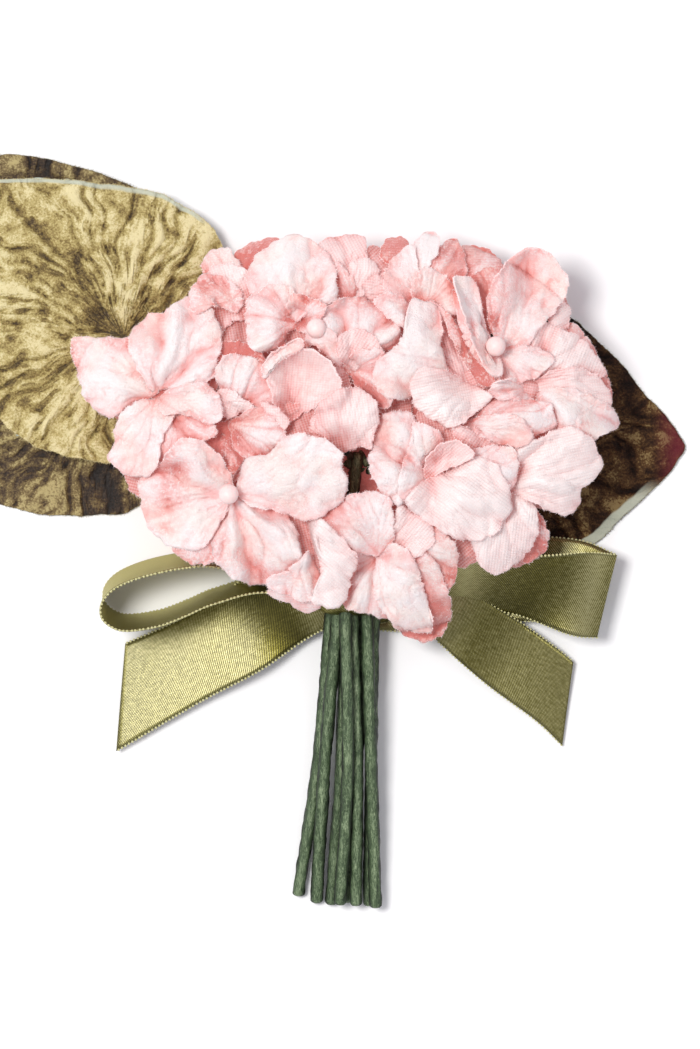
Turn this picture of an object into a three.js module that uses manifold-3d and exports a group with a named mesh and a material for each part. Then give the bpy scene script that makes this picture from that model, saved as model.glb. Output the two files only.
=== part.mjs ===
// A bunch of fabric hydrangea: a head of velvet petals, velvet leaves, paper-wrapped wire stems and
// a satin ribbon bow. The bunch lies on its back on the z = 0 plane with the stem ends towards -Y.
// Millimetres. Places are measured from the middle of the bunch's picture and shifted once at the end.
import * as THREE from 'three';
import { mergeVertices } from 'three/addons/utils/BufferGeometryUtils.js';
import Module from 'manifold-3d';

const wasm = await Module();
wasm.setup();

// Driving dimensions.
const clearance = 0.3;
const petalThickness = 0.8;
const petalCorners = 8;
const throatRadius = 2.1;
const coreCentre = [-1, 19, 14.5];
const coreHalf = [33, 23, 7.5];
const pipDiameter = 3.7;
const stemDiameter = 2.4;
const leafThickness = 0.8;
const leafRibHeight = 0.35;
const petioleDiameter = 2;
const ribbonWidth = 16;
const ribbonThickness = 0.6;
const knotCentre = [1, -12.2];
const knotHalf = [9, 6.2];
const knotHeight = 16.6;
// The middle of the bunch's footprint, which the last line puts over the origin.
const footprintCentre = [-8.1, -1.2];

const up = new THREE.Vector3(0, 0, 1);
const point = (values) => new THREE.Vector3(...values);

// ---------------------------------------------------------------- solids

function solid(geometry) {
  geometry.deleteAttribute('normal');
  geometry.deleteAttribute('uv');
  const merged = mergeVertices(geometry, 1e-4);
  const corners = merged.index.array;
  const kept = [];
  for (let i = 0; i < corners.length; i += 3) {
    const [a, b, c] = corners.slice(i, i + 3);
    if (a !== b && b !== c && c !== a) kept.push(a, b, c);
  }
  return new wasm.Manifold(new wasm.Mesh({
    numProp: 3,
    vertProperties: new Float32Array(merged.attributes.position.array),
    triVerts: new Uint32Array(kept),
  }));
}

function join(solids) {
  return solids.reduce((whole, piece) => whole.add(piece));
}

function largestPiece(whole) {
  return whole.decompose().reduce((best, piece) => (piece.volume() > best.volume() ? piece : best));
}

function part(name, whole, material) {
  const { vertProperties, triVerts } = whole.getMesh();
  const geometry = new THREE.BufferGeometry();
  geometry.setAttribute('position', new THREE.BufferAttribute(vertProperties, 3));
  geometry.setIndex(new THREE.BufferAttribute(triVerts, 1));
  geometry.computeVertexNormals();
  const mesh = new THREE.Mesh(geometry, material);
  mesh.name = name;
  return mesh;
}

// Moves each vertex of a geometry to where `place` puts it.
function bend(geometry, place) {
  const positions = geometry.attributes.position;
  const target = new THREE.Vector3();
  for (let i = 0; i < positions.count; i += 1) {
    target.fromBufferAttribute(positions, i);
    positions.setXYZ(i, ...place(target.x, target.y, target.z).toArray());
  }
  return geometry;
}

// A flat round plate, rings of vertices around a pole, bent so that `surface(angle, reach)` is its
// middle sheet. `reach` runs from 0 at the pole to 1 at the rim.
function plate(segments, rings, thickness, surface) {
  const profile = [];
  for (let i = 0; i <= rings; i += 1) profile.push(new THREE.Vector2(i / rings, -1));
  for (let i = rings; i >= 0; i -= 1) profile.push(new THREE.Vector2(i / rings, 1));
  const step = 0.02;
  return solid(bend(new THREE.LatheGeometry(profile, segments), (x, side, z) => {
    const reach = Math.hypot(x, z);
    const angle = reach < 1e-6 ? 0 : Math.atan2(-z, x);
    const place = surface(angle, reach);
    const outward = surface(angle, reach + step).sub(surface(angle, reach - step));
    const around = reach < 1e-6
      ? surface(Math.PI / 2, step).sub(surface(-Math.PI / 2, step))
      : surface(angle + step, reach).sub(surface(angle - step, reach));
    const normal = outward.cross(around).normalize();
    return place.addScaledVector(normal, side * thickness / 2);
  }));
}

// A round rod along a smooth curve through the given points.
function rod(points, diameter, sides, steps) {
  const path = new THREE.CatmullRomCurve3(points.map(point));
  const section = new THREE.Shape();
  for (let i = 0; i < sides; i += 1) {
    const angle = (i / sides) * Math.PI * 2;
    const corner = [Math.cos(angle) * diameter / 2, Math.sin(angle) * diameter / 2];
    if (i === 0) section.moveTo(...corner);
    else section.lineTo(...corner);
  }
  section.closePath();
  return solid(new THREE.ExtrudeGeometry(section, { steps, bevelEnabled: false, extrudePath: path }));
}

// A ribbon strip: a long thin box bent along its stations. Each station has its middle `at` and the
// direction `across` the ribbon; `slant` lengthens the strip's edge where the end is cut aslant.
function strip(stations, steps) {
  const reach = ({ across, slant = 1 }) => point(across).setLength(ribbonWidth * slant);
  const middle = new THREE.CatmullRomCurve3(stations.map(({ at }) => point(at)));
  const width = new THREE.CatmullRomCurve3(stations.map(reach));
  const step = 0.01;
  return solid(bend(new THREE.BoxGeometry(1, 1, 1, steps, 1, 1), (x, y, z) => {
    const t = x + 0.5;
    const along = middle.getPoint(Math.min(t + step, 1)).sub(middle.getPoint(Math.max(t - step, 0)));
    const across = width.getPoint(t);
    const normal = along.cross(across).normalize();
    return middle.getPoint(t).addScaledVector(across, y).addScaledVector(normal, z * ribbonThickness);
  }));
}

// ---------------------------------------------------------------- flower head

// The head is a low dome of layered petals. Its outlines were read by eye off the bunch's picture:
// a place there is [dots right, dots down], and one dot is `dotSize` at the table. A third number
// is a height over the dome, in millimetres.
const picture = { dotSize: 0.19, middle: [350, 524.5], eyeHeight: 1000 };
const dome = { middle: [345, 430], reach: [280, 205], edge: 13, rise: 16, slope: 10 };
const layerStep = 0.3;
// Petals dip by `throatDepth` at their floret's throat, within about `throatReach` of it.
const throatDepth = 3.2;
const throatReach = 5;
const knobRadius = 2.7;
const clawDiameter = 2;
// How far below the dip the claws meet.
const clawDepth = 3;
// How far out a petal's root lies at most, as a share of its rim.
const rootShare = 0.72;

// Each floret's petals spring from its throat `at`; layers go from the deepest up. `level` shifts a
// petal from its layer and `bulge` lifts its middle.
const florets = {
  lowLeft: {
    at: [231, 495],
    petals: [
      {
        layer: 1, level: 1.5,
        rim: [
          [172, 548], [186, 540], [214, 536], [226, 546], [219, 559], [205, 564], [188, 562]
        ],
      },
      {
        layer: 4,
        rim: [
          [233, 500], [246, 502], [268, 506], [286, 514], [296, 532], [301, 552], [298, 566, -1],
          [286, 577, -1], [268, 584, -2], [252, 584, -2], [234, 578, -1], [220, 566, -1],
          [212, 548], [218, 522]
        ],
      },
      {
        layer: 5, bulge: -1.2,
        rim: [
          [234, 488], [228, 470, 1], [220, 456, 3], [206, 444, 4], [192, 438, 4], [178, 441, 3],
          [168, 452, 2], [158, 466], [140, 480], [142, 505, -1], [148, 527, -1], [164, 542, -1],
          [186, 550], [204, 547, 1], [216, 530], [228, 508]
        ],
      },
      {
        layer: 9, level: 1,
        rim: [
          [238, 492], [240, 474], [247, 459], [258, 455], [268, 455], [280, 442], [291, 434],
          [304, 434], [320, 438], [335, 445], [342, 456], [342, 467], [347, 480], [347, 491],
          [340, 503], [328, 512], [314, 520], [299, 519], [284, 513], [262, 508], [246, 504]
        ],
      },
    ],
  },
  farLeft: {
    at: [158, 396],
    petals: [
      {
        layer: 3,
        rim: [
          [70, 343], [78, 337], [96, 338], [118, 338], [136, 340], [152, 356], [160, 385],
          [150, 398], [134, 404], [118, 414], [108, 418], [94, 408], [84, 396], [78, 374]
        ],
      },
      {
        layer: 4,
        rim: [
          [152, 390], [140, 372], [130, 352], [130, 336], [138, 325], [150, 314], [165, 312],
          [178, 301], [192, 298], [206, 303], [216, 318], [222, 338], [218, 358], [214, 376, 1],
          [204, 383, 1], [190, 386], [170, 388]
        ],
      },
      {
        layer: 2,
        rim: [
          [152, 428], [172, 418], [194, 414], [214, 424], [216, 434], [202, 442], [186, 452],
          [168, 460], [154, 456], [148, 442]
        ],
      },
      {
        layer: 6, bulge: 1.2,
        rim: [
          [160, 398], [178, 402], [188, 410], [176, 418], [166, 430], [160, 446], [158, 464],
          [150, 474], [136, 477], [121, 471], [108, 458, -1], [114, 446], [115, 430], [121, 414],
          [136, 402]
        ],
      },
      {
        layer: 7, bulge: 2,
        rim: [
          [158, 402], [168, 391], [184, 385], [200, 382], [212, 388], [221, 402], [222, 415],
          [214, 424], [204, 423], [192, 416], [176, 414], [164, 414]
        ],
      },
    ],
  },
  upLeft: {
    at: [296, 322],
    petals: [
      {
        layer: 4, bulge: 1.6,
        rim: [
          [298, 320], [276, 312], [258, 302], [248, 288], [248, 272], [254, 259], [266, 248],
          [279, 240], [291, 235], [305, 237], [318, 245], [329, 256], [335, 267], [336, 282],
          [337, 294], [330, 304], [316, 306]
        ],
      },
      {
        layer: 6, bulge: 1.2,
        rim: [
          [298, 324], [287, 334], [284, 346], [274, 350], [260, 351], [250, 348], [247, 334],
          [246, 314], [248, 300], [257, 295], [267, 287], [282, 284], [294, 292], [299, 306]
        ],
      },
      {
        layer: 7, bulge: -1.2,
        rim: [
          [290, 318], [288, 306], [291, 294, 2], [304, 296, 3], [317, 300, 3], [327, 307, 2],
          [321, 318, 1], [318, 327], [309, 333], [298, 331]
        ],
      },
    ],
  },
  leftEdge: {
    at: [232, 300],
    petals: [
      {
        layer: 0, level: -3,
        rim: [
          [230, 262], [244, 247], [262, 240], [280, 240], [280, 262], [262, 284], [240, 280]
        ],
      },
      {
        layer: 2, level: -2,
        rim: [
          [204, 276], [204, 258], [215, 250], [228, 249], [238, 262], [246, 276], [236, 288],
          [216, 284]
        ],
      },
      {
        layer: 3, level: -1.5,
        rim: [
          [208, 276], [211, 268], [226, 264], [246, 270], [252, 288], [246, 304], [234, 300],
          [222, 288]
        ],
      },
      {
        layer: 4,
        rim: [
          [190, 300], [193, 286], [203, 275], [217, 275], [231, 281], [241, 292], [243, 304],
          [234, 312], [216, 306], [203, 312], [193, 312]
        ],
      },
      {
        layer: 3, level: -2,
        rim: [
          [212, 304], [228, 308], [244, 304], [247, 318], [232, 322], [220, 332], [213, 320]
        ],
      },
    ],
  },
  midLeft: {
    at: [228, 424],
    petals: [
      {
        layer: 2, level: -1,
        rim: [
          [212, 354], [222, 343], [240, 342], [258, 349], [266, 366], [244, 378], [220, 372]
        ],
      },
      {
        layer: 5,
        rim: [
          [222, 392], [216, 376], [220, 360], [230, 355], [246, 356], [260, 362], [267, 374],
          [271, 388], [278, 400], [270, 408], [254, 406], [238, 398]
        ],
      },
      {
        layer: 6, bulge: 1,
        rim: [
          [226, 418], [217, 410], [214, 398], [221, 390], [231, 390], [242, 398], [252, 406],
          [243, 412]
        ],
      },
      {
        layer: 6, bulge: 1.2,
        rim: [
          [230, 424], [240, 415], [257, 407], [270, 410], [279, 419], [286, 430], [284, 440],
          [274, 448], [266, 458], [254, 460], [242, 456], [234, 446]
        ],
      },
      {
        layer: 6,
        rim: [
          [262, 402], [272, 404], [281, 411], [288, 420], [285, 430], [276, 420], [266, 411]
        ],
      },
    ],
  },
  midCup: {
    at: [290, 410],
    petals: [
      {
        layer: 7, bulge: -4.5,
        rim: [
          [284, 424], [277, 410], [272, 396], [268, 381, 1], [272, 366, 2], [284, 356, 3],
          [298, 349, 4], [312, 350, 4], [326, 358, 4], [336, 371, 4], [341, 385, 3],
          [338, 397, 2], [324, 403, 1], [304, 413]
        ],
      },
      {
        layer: 8, level: 0.5,
        rim: [
          [266, 380], [262, 368, 1], [270, 355, 3], [284, 346, 4], [297, 339, 4], [305, 345, 4],
          [298, 352, 3], [284, 358, 2], [274, 368, 1]
        ],
      },
    ],
  },
  heart: {
    at: [346, 452],
    petals: [
      {
        layer: 4, level: -1,
        rim: [
          [320, 440], [312, 438], [310, 428], [312, 418], [320, 414], [328, 424], [328, 436]
        ],
      },
      {
        layer: 8, bulge: 1.8,
        rim: [
          [342, 452], [330, 444], [318, 432], [315, 418], [318, 406], [329, 396], [342, 389],
          [356, 388], [368, 393], [376, 403], [379, 414], [377, 427], [372, 440], [371, 449],
          [358, 447]
        ],
      },
    ],
  },
  topMid: {
    at: [352, 372],
    petals: [
      {
        layer: 5,
        rim: [
          [352, 368], [336, 356], [326, 342], [320, 328], [322, 314], [332, 303], [346, 298],
          [360, 297], [374, 303], [388, 309], [397, 319], [401, 331], [398, 343], [388, 350],
          [372, 352]
        ],
      },
      {
        layer: 5,
        rim: [
          [340, 366], [330, 358], [318, 348], [306, 340], [308, 332], [318, 327], [328, 328],
          [338, 338], [341, 352]
        ],
      },
      {
        layer: 6, bulge: 1.2,
        rim: [
          [352, 372], [341, 360], [336, 346], [343, 334], [356, 329], [370, 333], [380, 345],
          [384, 354], [376, 364], [364, 370]
        ],
      },
      {
        layer: 6,
        rim: [
          [350, 376], [344, 364], [354, 353], [366, 350], [380, 350], [390, 360], [392, 386],
          [392, 402], [382, 408], [370, 400], [358, 388]
        ],
      },
      { layer: 3, rim: [[334, 352], [346, 372], [352, 392], [342, 400], [330, 386]] },
    ],
  },
  top: {
    at: [352, 300],
    petals: [
      {
        layer: 2, level: -1,
        rim: [
          [318, 244], [338, 237], [362, 236], [367, 256], [364, 276], [346, 286], [330, 268]
        ],
      },
      {
        layer: 3,
        rim: [
          [352, 294], [347, 278], [350, 265], [360, 259], [374, 261], [378, 272], [370, 284],
          [362, 298]
        ],
      },
      {
        layer: 3,
        rim: [
          [334, 300], [332, 280], [336, 262], [346, 270], [356, 284], [358, 298], [346, 306]
        ],
      },
      {
        layer: 1, level: -1.5,
        rim: [
          [380, 250], [390, 238], [402, 238], [410, 246], [402, 262], [386, 264]
        ],
      },
      {
        layer: 3, level: -1.5,
        rim: [
          [356, 302], [366, 282], [378, 276], [390, 286], [388, 304], [372, 310]
        ],
      },
    ],
  },
  topRight: {
    at: [424, 306],
    petals: [
      {
        layer: 1, level: -1,
        rim: [
          [458, 250], [470, 246], [487, 249], [500, 261], [508, 276], [490, 290], [464, 282]
        ],
      },
      {
        layer: 3, bulge: 1,
        rim: [
          [428, 268], [432, 256], [441, 245], [452, 239], [459, 242], [464, 256], [466, 274],
          [458, 290], [440, 296]
        ],
      },
      {
        layer: 4,
        rim: [
          [414, 300], [410, 272], [410, 252], [418, 239], [428, 231], [439, 238], [438, 252],
          [430, 264], [426, 284]
        ],
      },
      {
        layer: 4,
        rim: [
          [400, 312], [384, 304], [384, 286], [386, 270], [396, 256], [411, 245], [418, 266],
          [416, 292]
        ],
      },
      {
        layer: 5,
        rim: [
          [400, 326], [382, 312], [374, 300], [384, 294], [398, 295], [410, 306], [412, 320]
        ],
      },
      {
        layer: 5, bulge: 1,
        rim: [
          [412, 300], [414, 280], [424, 268], [438, 272], [450, 282], [460, 296], [462, 312],
          [446, 314], [428, 306]
        ],
      },
    ],
  },
  bigRight: {
    at: [498, 352],
    petals: [
      {
        layer: 1, level: -1,
        rim: [
          [548, 322], [556, 306], [564, 296], [570, 312], [566, 330], [556, 338]
        ],
      },
      {
        layer: 5, level: -0.5,
        rim: [
          [470, 280], [482, 270], [500, 267], [512, 276], [506, 300], [490, 310], [474, 300]
        ],
      },
      {
        layer: 6, bulge: -2.5,
        rim: [
          [500, 352], [491, 330], [487, 306, 1], [492, 284, 3], [503, 267, 6], [516, 254, 8],
          [531, 248, 9], [546, 251, 9], [559, 264, 7], [568, 279, 5], [567, 292, 3],
          [560, 304, 2], [550, 317, 1], [538, 330], [528, 346], [514, 354]
        ],
      },
      {
        layer: 6,
        rim: [
          [500, 360], [508, 350], [522, 346], [540, 349], [554, 358], [544, 372], [528, 380],
          [510, 380]
        ],
      },
      {
        layer: 7, level: 1, bulge: 0,
        rim: [
          [508, 378], [492, 372, 1], [478, 354, 4], [468, 328, 6], [460, 302, 7], [453, 278, 7],
          [463, 276, 6], [476, 284, 4], [480, 302, 2], [480, 322], [487, 344], [498, 362]
        ],
      },
    ],
  },
  midRight: {
    at: [470, 384],
    petals: [
      {
        layer: 5, level: -1, bulge: -1.5,
        rim: [
          [428, 300], [442, 308], [452, 326], [464, 346], [484, 370], [494, 384], [472, 388],
          [450, 374], [438, 350], [432, 324]
        ],
      },
      {
        layer: 6, bulge: -1,
        rim: [
          [446, 312], [456, 324], [468, 342], [480, 360], [496, 382], [484, 386], [470, 372],
          [458, 350], [448, 332]
        ],
      },
      {
        layer: 6, level: 0.6,
        rim: [
          [452, 292], [462, 296], [470, 314], [478, 336], [490, 356], [500, 376], [490, 374],
          [474, 356], [462, 332]
        ],
      },
      {
        layer: 7, level: 0.8, bulge: 1.8,
        rim: [
          [412, 396], [396, 400], [380, 392], [373, 376], [379, 360], [392, 350], [402, 338],
          [406, 318], [412, 299], [424, 301], [438, 309], [442, 326], [441, 346], [447, 368],
          [440, 382], [426, 392]
        ],
      },
      {
        layer: 8, bulge: 1.6,
        rim: [
          [492, 397], [478, 410], [465, 421], [452, 428], [436, 421], [422, 413], [412, 400],
          [411, 384], [418, 371], [434, 368], [452, 374], [470, 384]
        ],
      },
    ],
  },
  right: {
    at: [530, 386],
    petals: [
      {
        layer: 0, level: -2,
        rim: [
          [560, 330], [572, 322], [586, 337], [596, 352], [590, 364], [572, 352]
        ],
      },
      {
        layer: 1, level: -2,
        rim: [
          [586, 366], [596, 356], [604, 370], [611, 388], [610, 402], [598, 398]
        ],
      },
      {
        layer: 3, level: -0.5,
        rim: [
          [530, 372], [530, 345], [540, 322], [556, 328], [574, 334], [588, 345], [598, 360],
          [606, 374], [592, 380], [568, 374]
        ],
      },
      {
        layer: 4,
        rim: [
          [530, 388], [542, 376], [556, 370], [574, 368], [592, 373], [606, 386], [611, 400],
          [606, 412], [590, 404], [566, 398], [544, 398]
        ],
      },
      {
        layer: 5,
        rim: [
          [536, 398], [548, 388], [564, 388], [584, 393], [602, 402], [614, 412], [618, 422],
          [612, 431], [598, 437], [584, 440], [568, 434], [556, 428], [546, 412]
        ],
      },
      {
        layer: 7,
        rim: [
          [488, 393], [494, 384], [508, 379], [524, 379], [538, 386], [534, 397], [516, 400],
          [498, 399]
        ],
      },
    ],
  },
  rightInner: {
    at: [470, 424],
    petals: [
      {
        layer: 6,
        rim: [
          [476, 418], [492, 402], [512, 398], [532, 400], [548, 403], [553, 412], [557, 424],
          [546, 431], [532, 436], [516, 432], [496, 426]
        ],
      },
      {
        layer: 7, bulge: 1,
        rim: [
          [452, 429], [468, 420], [486, 416], [504, 414], [520, 417], [528, 428], [534, 438],
          [522, 446], [504, 445], [484, 438], [468, 433]
        ],
      },
    ],
  },
  openRose: {
    at: [432, 476],
    petals: [
      {
        layer: 5, level: -1.5,
        rim: [
          [424, 430], [416, 420], [420, 410], [436, 418], [452, 426], [466, 436], [474, 448],
          [462, 456], [444, 450], [430, 442]
        ],
      },
      {
        layer: 5, level: -1.5,
        rim: [
          [452, 426], [470, 428], [490, 433], [502, 441], [500, 450], [486, 456], [468, 456],
          [458, 444]
        ],
      },
      {
        layer: 6, bulge: 1.2,
        rim: [
          [424, 476], [410, 488], [402, 504], [390, 502], [380, 490], [371, 474], [369, 458],
          [374, 444], [372, 428], [384, 415], [400, 411], [414, 417], [418, 434], [416, 456]
        ],
      },
      {
        layer: 7,
        rim: [
          [470, 478], [466, 460], [478, 448], [496, 446], [514, 450], [518, 464], [516, 479],
          [508, 490], [490, 486]
        ],
      },
      {
        layer: 9, level: 0.6, bulge: 3.2,
        rim: [
          [426, 480], [440, 474], [458, 466], [480, 457], [493, 463], [504, 476], [510, 492],
          [511, 509], [502, 523], [495, 533], [480, 540], [462, 540], [448, 535], [434, 526],
          [420, 517], [410, 509], [406, 498], [414, 489]
        ],
      },
      {
        layer: 8, bulge: 1.4,
        rim: [
          [424, 480], [412, 494], [402, 500], [398, 488], [401, 470], [407, 452], [412, 436],
          [414, 424, 1], [428, 425, 2], [440, 434, 2], [443, 443, 1], [432, 452], [425, 464]
        ],
      },
      {
        layer: 9, level: 1.2, bulge: -1.2,
        rim: [
          [426, 478], [424, 466], [429, 455, 1], [441, 444, 3], [455, 441, 3], [468, 446, 3],
          [473, 455, 2], [464, 463, 1], [448, 468], [437, 475]
        ],
      },
    ],
  },
  lowRight: {
    at: [508, 488],
    petals: [
      {
        layer: 1, level: -3,
        rim: [
          [528, 500], [542, 518], [549, 535], [546, 549], [537, 558], [524, 563], [512, 552],
          [520, 526]
        ],
      },
      {
        layer: 5, bulge: 1.4,
        rim: [
          [472, 536], [490, 524], [504, 508], [512, 492], [526, 495], [534, 506], [538, 520],
          [537, 535], [530, 549], [520, 560], [510, 568], [498, 574], [488, 572], [478, 560]
        ],
      },
      {
        layer: 6, level: 0.5, bulge: 1.8,
        rim: [
          [510, 490], [516, 472], [514, 456], [522, 444], [536, 440], [551, 432], [566, 427],
          [580, 430], [590, 438], [597, 450], [602, 462], [600, 472], [590, 482], [580, 491],
          [580, 502], [574, 511], [562, 515], [549, 510], [534, 503], [522, 497]
        ],
      },
    ],
  },
  bottom: {
    at: [378, 556],
    petals: [
      {
        layer: 3,
        rim: [
          [400, 530], [420, 520], [434, 524], [447, 535], [456, 546], [458, 562], [455, 578],
          [449, 590], [438, 580], [424, 560]
        ],
      },
      {
        layer: 4, level: -2, bulge: -1.5,
        rim: [
          [346, 558], [360, 548], [384, 546], [398, 570], [396, 606], [386, 618], [366, 613],
          [346, 608], [344, 590], [350, 574]
        ],
      },
      {
        layer: 4,
        rim: [
          [404, 556], [424, 552], [436, 563], [445, 583], [451, 605], [449, 621], [442, 634],
          [430, 641], [416, 640], [400, 631], [392, 618]
        ],
      },
      {
        layer: 5, bulge: 1.2,
        rim: [
          [372, 548], [392, 520], [400, 506], [413, 511], [426, 520], [434, 530], [434, 541],
          [426, 551], [413, 558], [394, 552]
        ],
      },
      {
        layer: 6, bulge: 1.2,
        rim: [
          [370, 556], [344, 544], [324, 530], [316, 520], [334, 508], [348, 496], [365, 492],
          [381, 493], [391, 501], [393, 516], [394, 532], [391, 543], [382, 552]
        ],
      },
      {
        layer: 7, bulge: 2.4,
        rim: [
          [380, 552], [393, 543], [405, 549], [415, 562], [422, 583], [428, 605], [432, 622],
          [430, 633], [414, 631], [398, 625], [386, 615], [376, 598], [374, 574]
        ],
      },
    ],
  },
  bottomLeft: {
    at: [300, 520],
    petals: [
      {
        layer: 2, level: -2,
        rim: [
          [284, 512], [302, 518], [314, 532], [320, 552], [326, 574], [318, 590], [304, 580],
          [296, 556], [290, 534]
        ],
      },
      {
        layer: 3, level: -2,
        rim: [
          [268, 590], [290, 584], [316, 588], [322, 603], [306, 613], [288, 602], [274, 598]
        ],
      },
      {
        layer: 4, level: -1,
        rim: [
          [268, 588], [268, 578], [284, 572], [300, 560], [308, 552], [316, 566], [322, 584],
          [318, 598], [304, 602], [286, 594]
        ],
      },
      {
        layer: 8, bulge: 1.6,
        rim: [
          [308, 516], [320, 519], [334, 530], [348, 545], [358, 562], [352, 574], [348, 590],
          [346, 601], [334, 608], [320, 606], [311, 598], [317, 584], [321, 570], [316, 550],
          [310, 534]
        ],
      },
    ],
  },
};

// The low petals that close the head's underside: how far out they start and end, as a share of the
// dome's reach, how far below it they lie and how wide they are.
const skirt = { count: 8, start: 0.34, end: 0.9, level: -6, width: 70, corners: 8 };

function domeHeight(x, y) {
  const out = Math.hypot((x - dome.middle[0]) / dome.reach[0], (y - dome.middle[1]) / dome.reach[1]);
  const inside = dome.edge + dome.rise * Math.sqrt(Math.max(1 - out * out, 0));
  return inside - dome.slope * Math.max(out - 1, 0);
}

// A place on the picture at height z.
function onTable(x, y, z) {
  const scale = picture.dotSize * (1 - z / picture.eyeHeight);
  return new THREE.Vector3((x - picture.middle[0]) * scale, (picture.middle[1] - y) * scale, z);
}

// A rim, smoothed, as reach and height by angle around its middle or another centre.
function rimAround(rim, centre) {
  const corners = rim.map(([x, y, over = 0]) => new THREE.Vector3(x, y, over));
  const samplesPerCorner = 8;
  const samples = new THREE.CatmullRomCurve3(corners, true).getPoints(rim.length * samplesPerCorner).slice(1);
  const mean = samples.reduce((sum, spot) => sum.add(spot), new THREE.Vector3());
  const middle = centre ?? mean.divideScalar(samples.length);
  const around = samples.map(({ x, y, z }) => ({
    angle: Math.atan2(middle.y - y, x - middle.x),
    out: Math.hypot(x - middle.x, y - middle.y),
    over: z,
  }));
  around.sort((first, second) => first.angle - second.angle);
  const nearest = (angle) => {
    const turned = Math.atan2(Math.sin(angle), Math.cos(angle));
    return around.find((spot) => spot.angle >= turned) ?? around[0];
  };
  return { middle, nearest };
}

function throatDip([x, y], at) {
  const far = Math.hypot(x - at[0], y - at[1]) * picture.dotSize;
  return throatDepth * Math.exp(-((far / throatReach) ** 2));
}

// A petal as a thin plate that follows the dome, dips at its floret's throat and ends at its rim.
function petal(at, { layer, rim, level = 0, bulge = 0.6 }) {
  const { middle, nearest } = rimAround(rim);
  return plate(petalCorners, 1, petalThickness, (angle, reach) => {
    const { out, over } = nearest(angle);
    const x = middle.x + out * reach * Math.cos(angle);
    const y = middle.y - out * reach * Math.sin(angle);
    const lift = over * reach * reach + bulge * (1 - reach * reach) - throatDip([x, y], at);
    return onTable(x, y, domeHeight(x, y) + layer * layerStep + level + lift);
  });
}

// A petal's claw: a short rod from its root down to its floret's throat.
function claw(at, { layer, rim, level = 0 }) {
  const { middle, nearest } = rimAround(rim);
  const away = Math.hypot(at[0] - middle.x, at[1] - middle.y);
  const angle = Math.atan2(middle.y - at[1], at[0] - middle.x);
  const out = Math.min(away, nearest(angle).out * rootShare);
  const x = middle.x + out * Math.cos(angle);
  const y = middle.y - out * Math.sin(angle);
  const root = onTable(x, y, domeHeight(x, y) + layer * layerStep + level - throatDip([x, y], at));
  const foot = onTable(at[0], at[1], domeHeight(...at) - throatDepth - clawDepth);
  return rod([foot.toArray(), root.toArray()], clawDiameter, 3, 1);
}

function skirtPetal(number) {
  const turn = (number / skirt.count) * Math.PI * 2;
  const rim = [];
  for (let i = 0; i < skirt.corners; i += 1) {
    const angle = (i / skirt.corners) * Math.PI * 2;
    const share = THREE.MathUtils.lerp(skirt.start, skirt.end, 0.5 + 0.5 * Math.cos(angle));
    const side = (skirt.width / 2) * Math.sin(angle);
    rim.push([
      dome.middle[0] + dome.reach[0] * share * Math.cos(turn) - side * Math.sin(turn),
      dome.middle[1] + dome.reach[1] * share * Math.sin(turn) + side * Math.cos(turn),
    ]);
  }
  return petal(dome.middle, { layer: 0, level: skirt.level, rim });
}

// A lumpy cushion that all throats and the tops of the stems are sunk in.
function core() {
  const ball = new THREE.IcosahedronGeometry(1, 2);
  return solid(bend(ball, (x, y, z) => {
    const lump = 1 + 0.05 * Math.sin(5 * x + 1) * Math.cos(4 * y) + 0.04 * Math.sin(6 * y + 2 * z);
    return point([x * coreHalf[0], y * coreHalf[1], z * coreHalf[2]])
      .multiplyScalar(lump).add(point(coreCentre));
  }));
}

// A floret's throat: a short rod from the core that ends in a knob under the petals' roots.
function throat([x, y]) {
  const place = onTable(x, y, domeHeight(x, y) - throatDepth - clawDepth);
  const inward = 0.25;
  const foot = place.clone().lerp(point(coreCentre), inward).setZ(coreCentre[2] - 1);
  const knob = new THREE.IcosahedronGeometry(knobRadius, 0).translate(...place.toArray());
  return rod([foot.toArray(), place.toArray()], throatRadius * 2, 6, 1).add(solid(knob));
}

function flowerHead() {
  const pieces = [core()];
  for (const { at, petals } of Object.values(florets)) {
    pieces.push(throat(at));
    for (const form of petals) pieces.push(petal(at, form), claw(at, form));
  }
  for (let number = 0; number < skirt.count; number += 1) pieces.push(skirtPetal(number));
  return join(pieces);
}

// ---------------------------------------------------------------- pips

// The round beads that show in three of the throats.
const pipPlaces = {
  pip_low_left: [-22.4, 5.6, 28.3],
  pip_up_left: [-6.2, 36.2, 28.4],
  pip_right: [27, 33, 25.8],
};

function ball(place, diameter) {
  return solid(new THREE.SphereGeometry(diameter / 2, 12, 8).translate(...place));
}

// ---------------------------------------------------------------- stems

// Eight straight wires from left to right: their places across the bundle, [x, z], where the knot
// holds them and half-way down, and where they are cut.
const stems = [
  { knot: [-3.6, 8.2], middle: [-6.1, 4.4], end: [-9.9, -70.4, 1.3] },
  { knot: [-2.25, 10.6], middle: [-4.75, 6.8], end: [-6.4, -71.7, 1.3] },
  { knot: [-0.9, 8.2], middle: [-1.7, 4.4], end: [-3.6, -72.1, 1.3] },
  { knot: [-0.9, 12.95], middle: [-0.4, 9.3], end: [-1.9, -71.9, 3.9] },
  { knot: [0.45, 10.6], middle: [1.3, 7.15], end: [1.1, -72.1, 3.7] },
  { knot: [1.8, 8.2], middle: [1.3, 4.4], end: [-0.8, -71.7, 1.3] },
  { knot: [3.2, 10.6], middle: [4, 7.15], end: [4.9, -72.5, 3.8] },
  { knot: [4.5, 8.2], middle: [4, 4.4], end: [3.6, -72.3, 1.3] },
];
const knotStation = -16;
const middleStation = -45;

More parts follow.
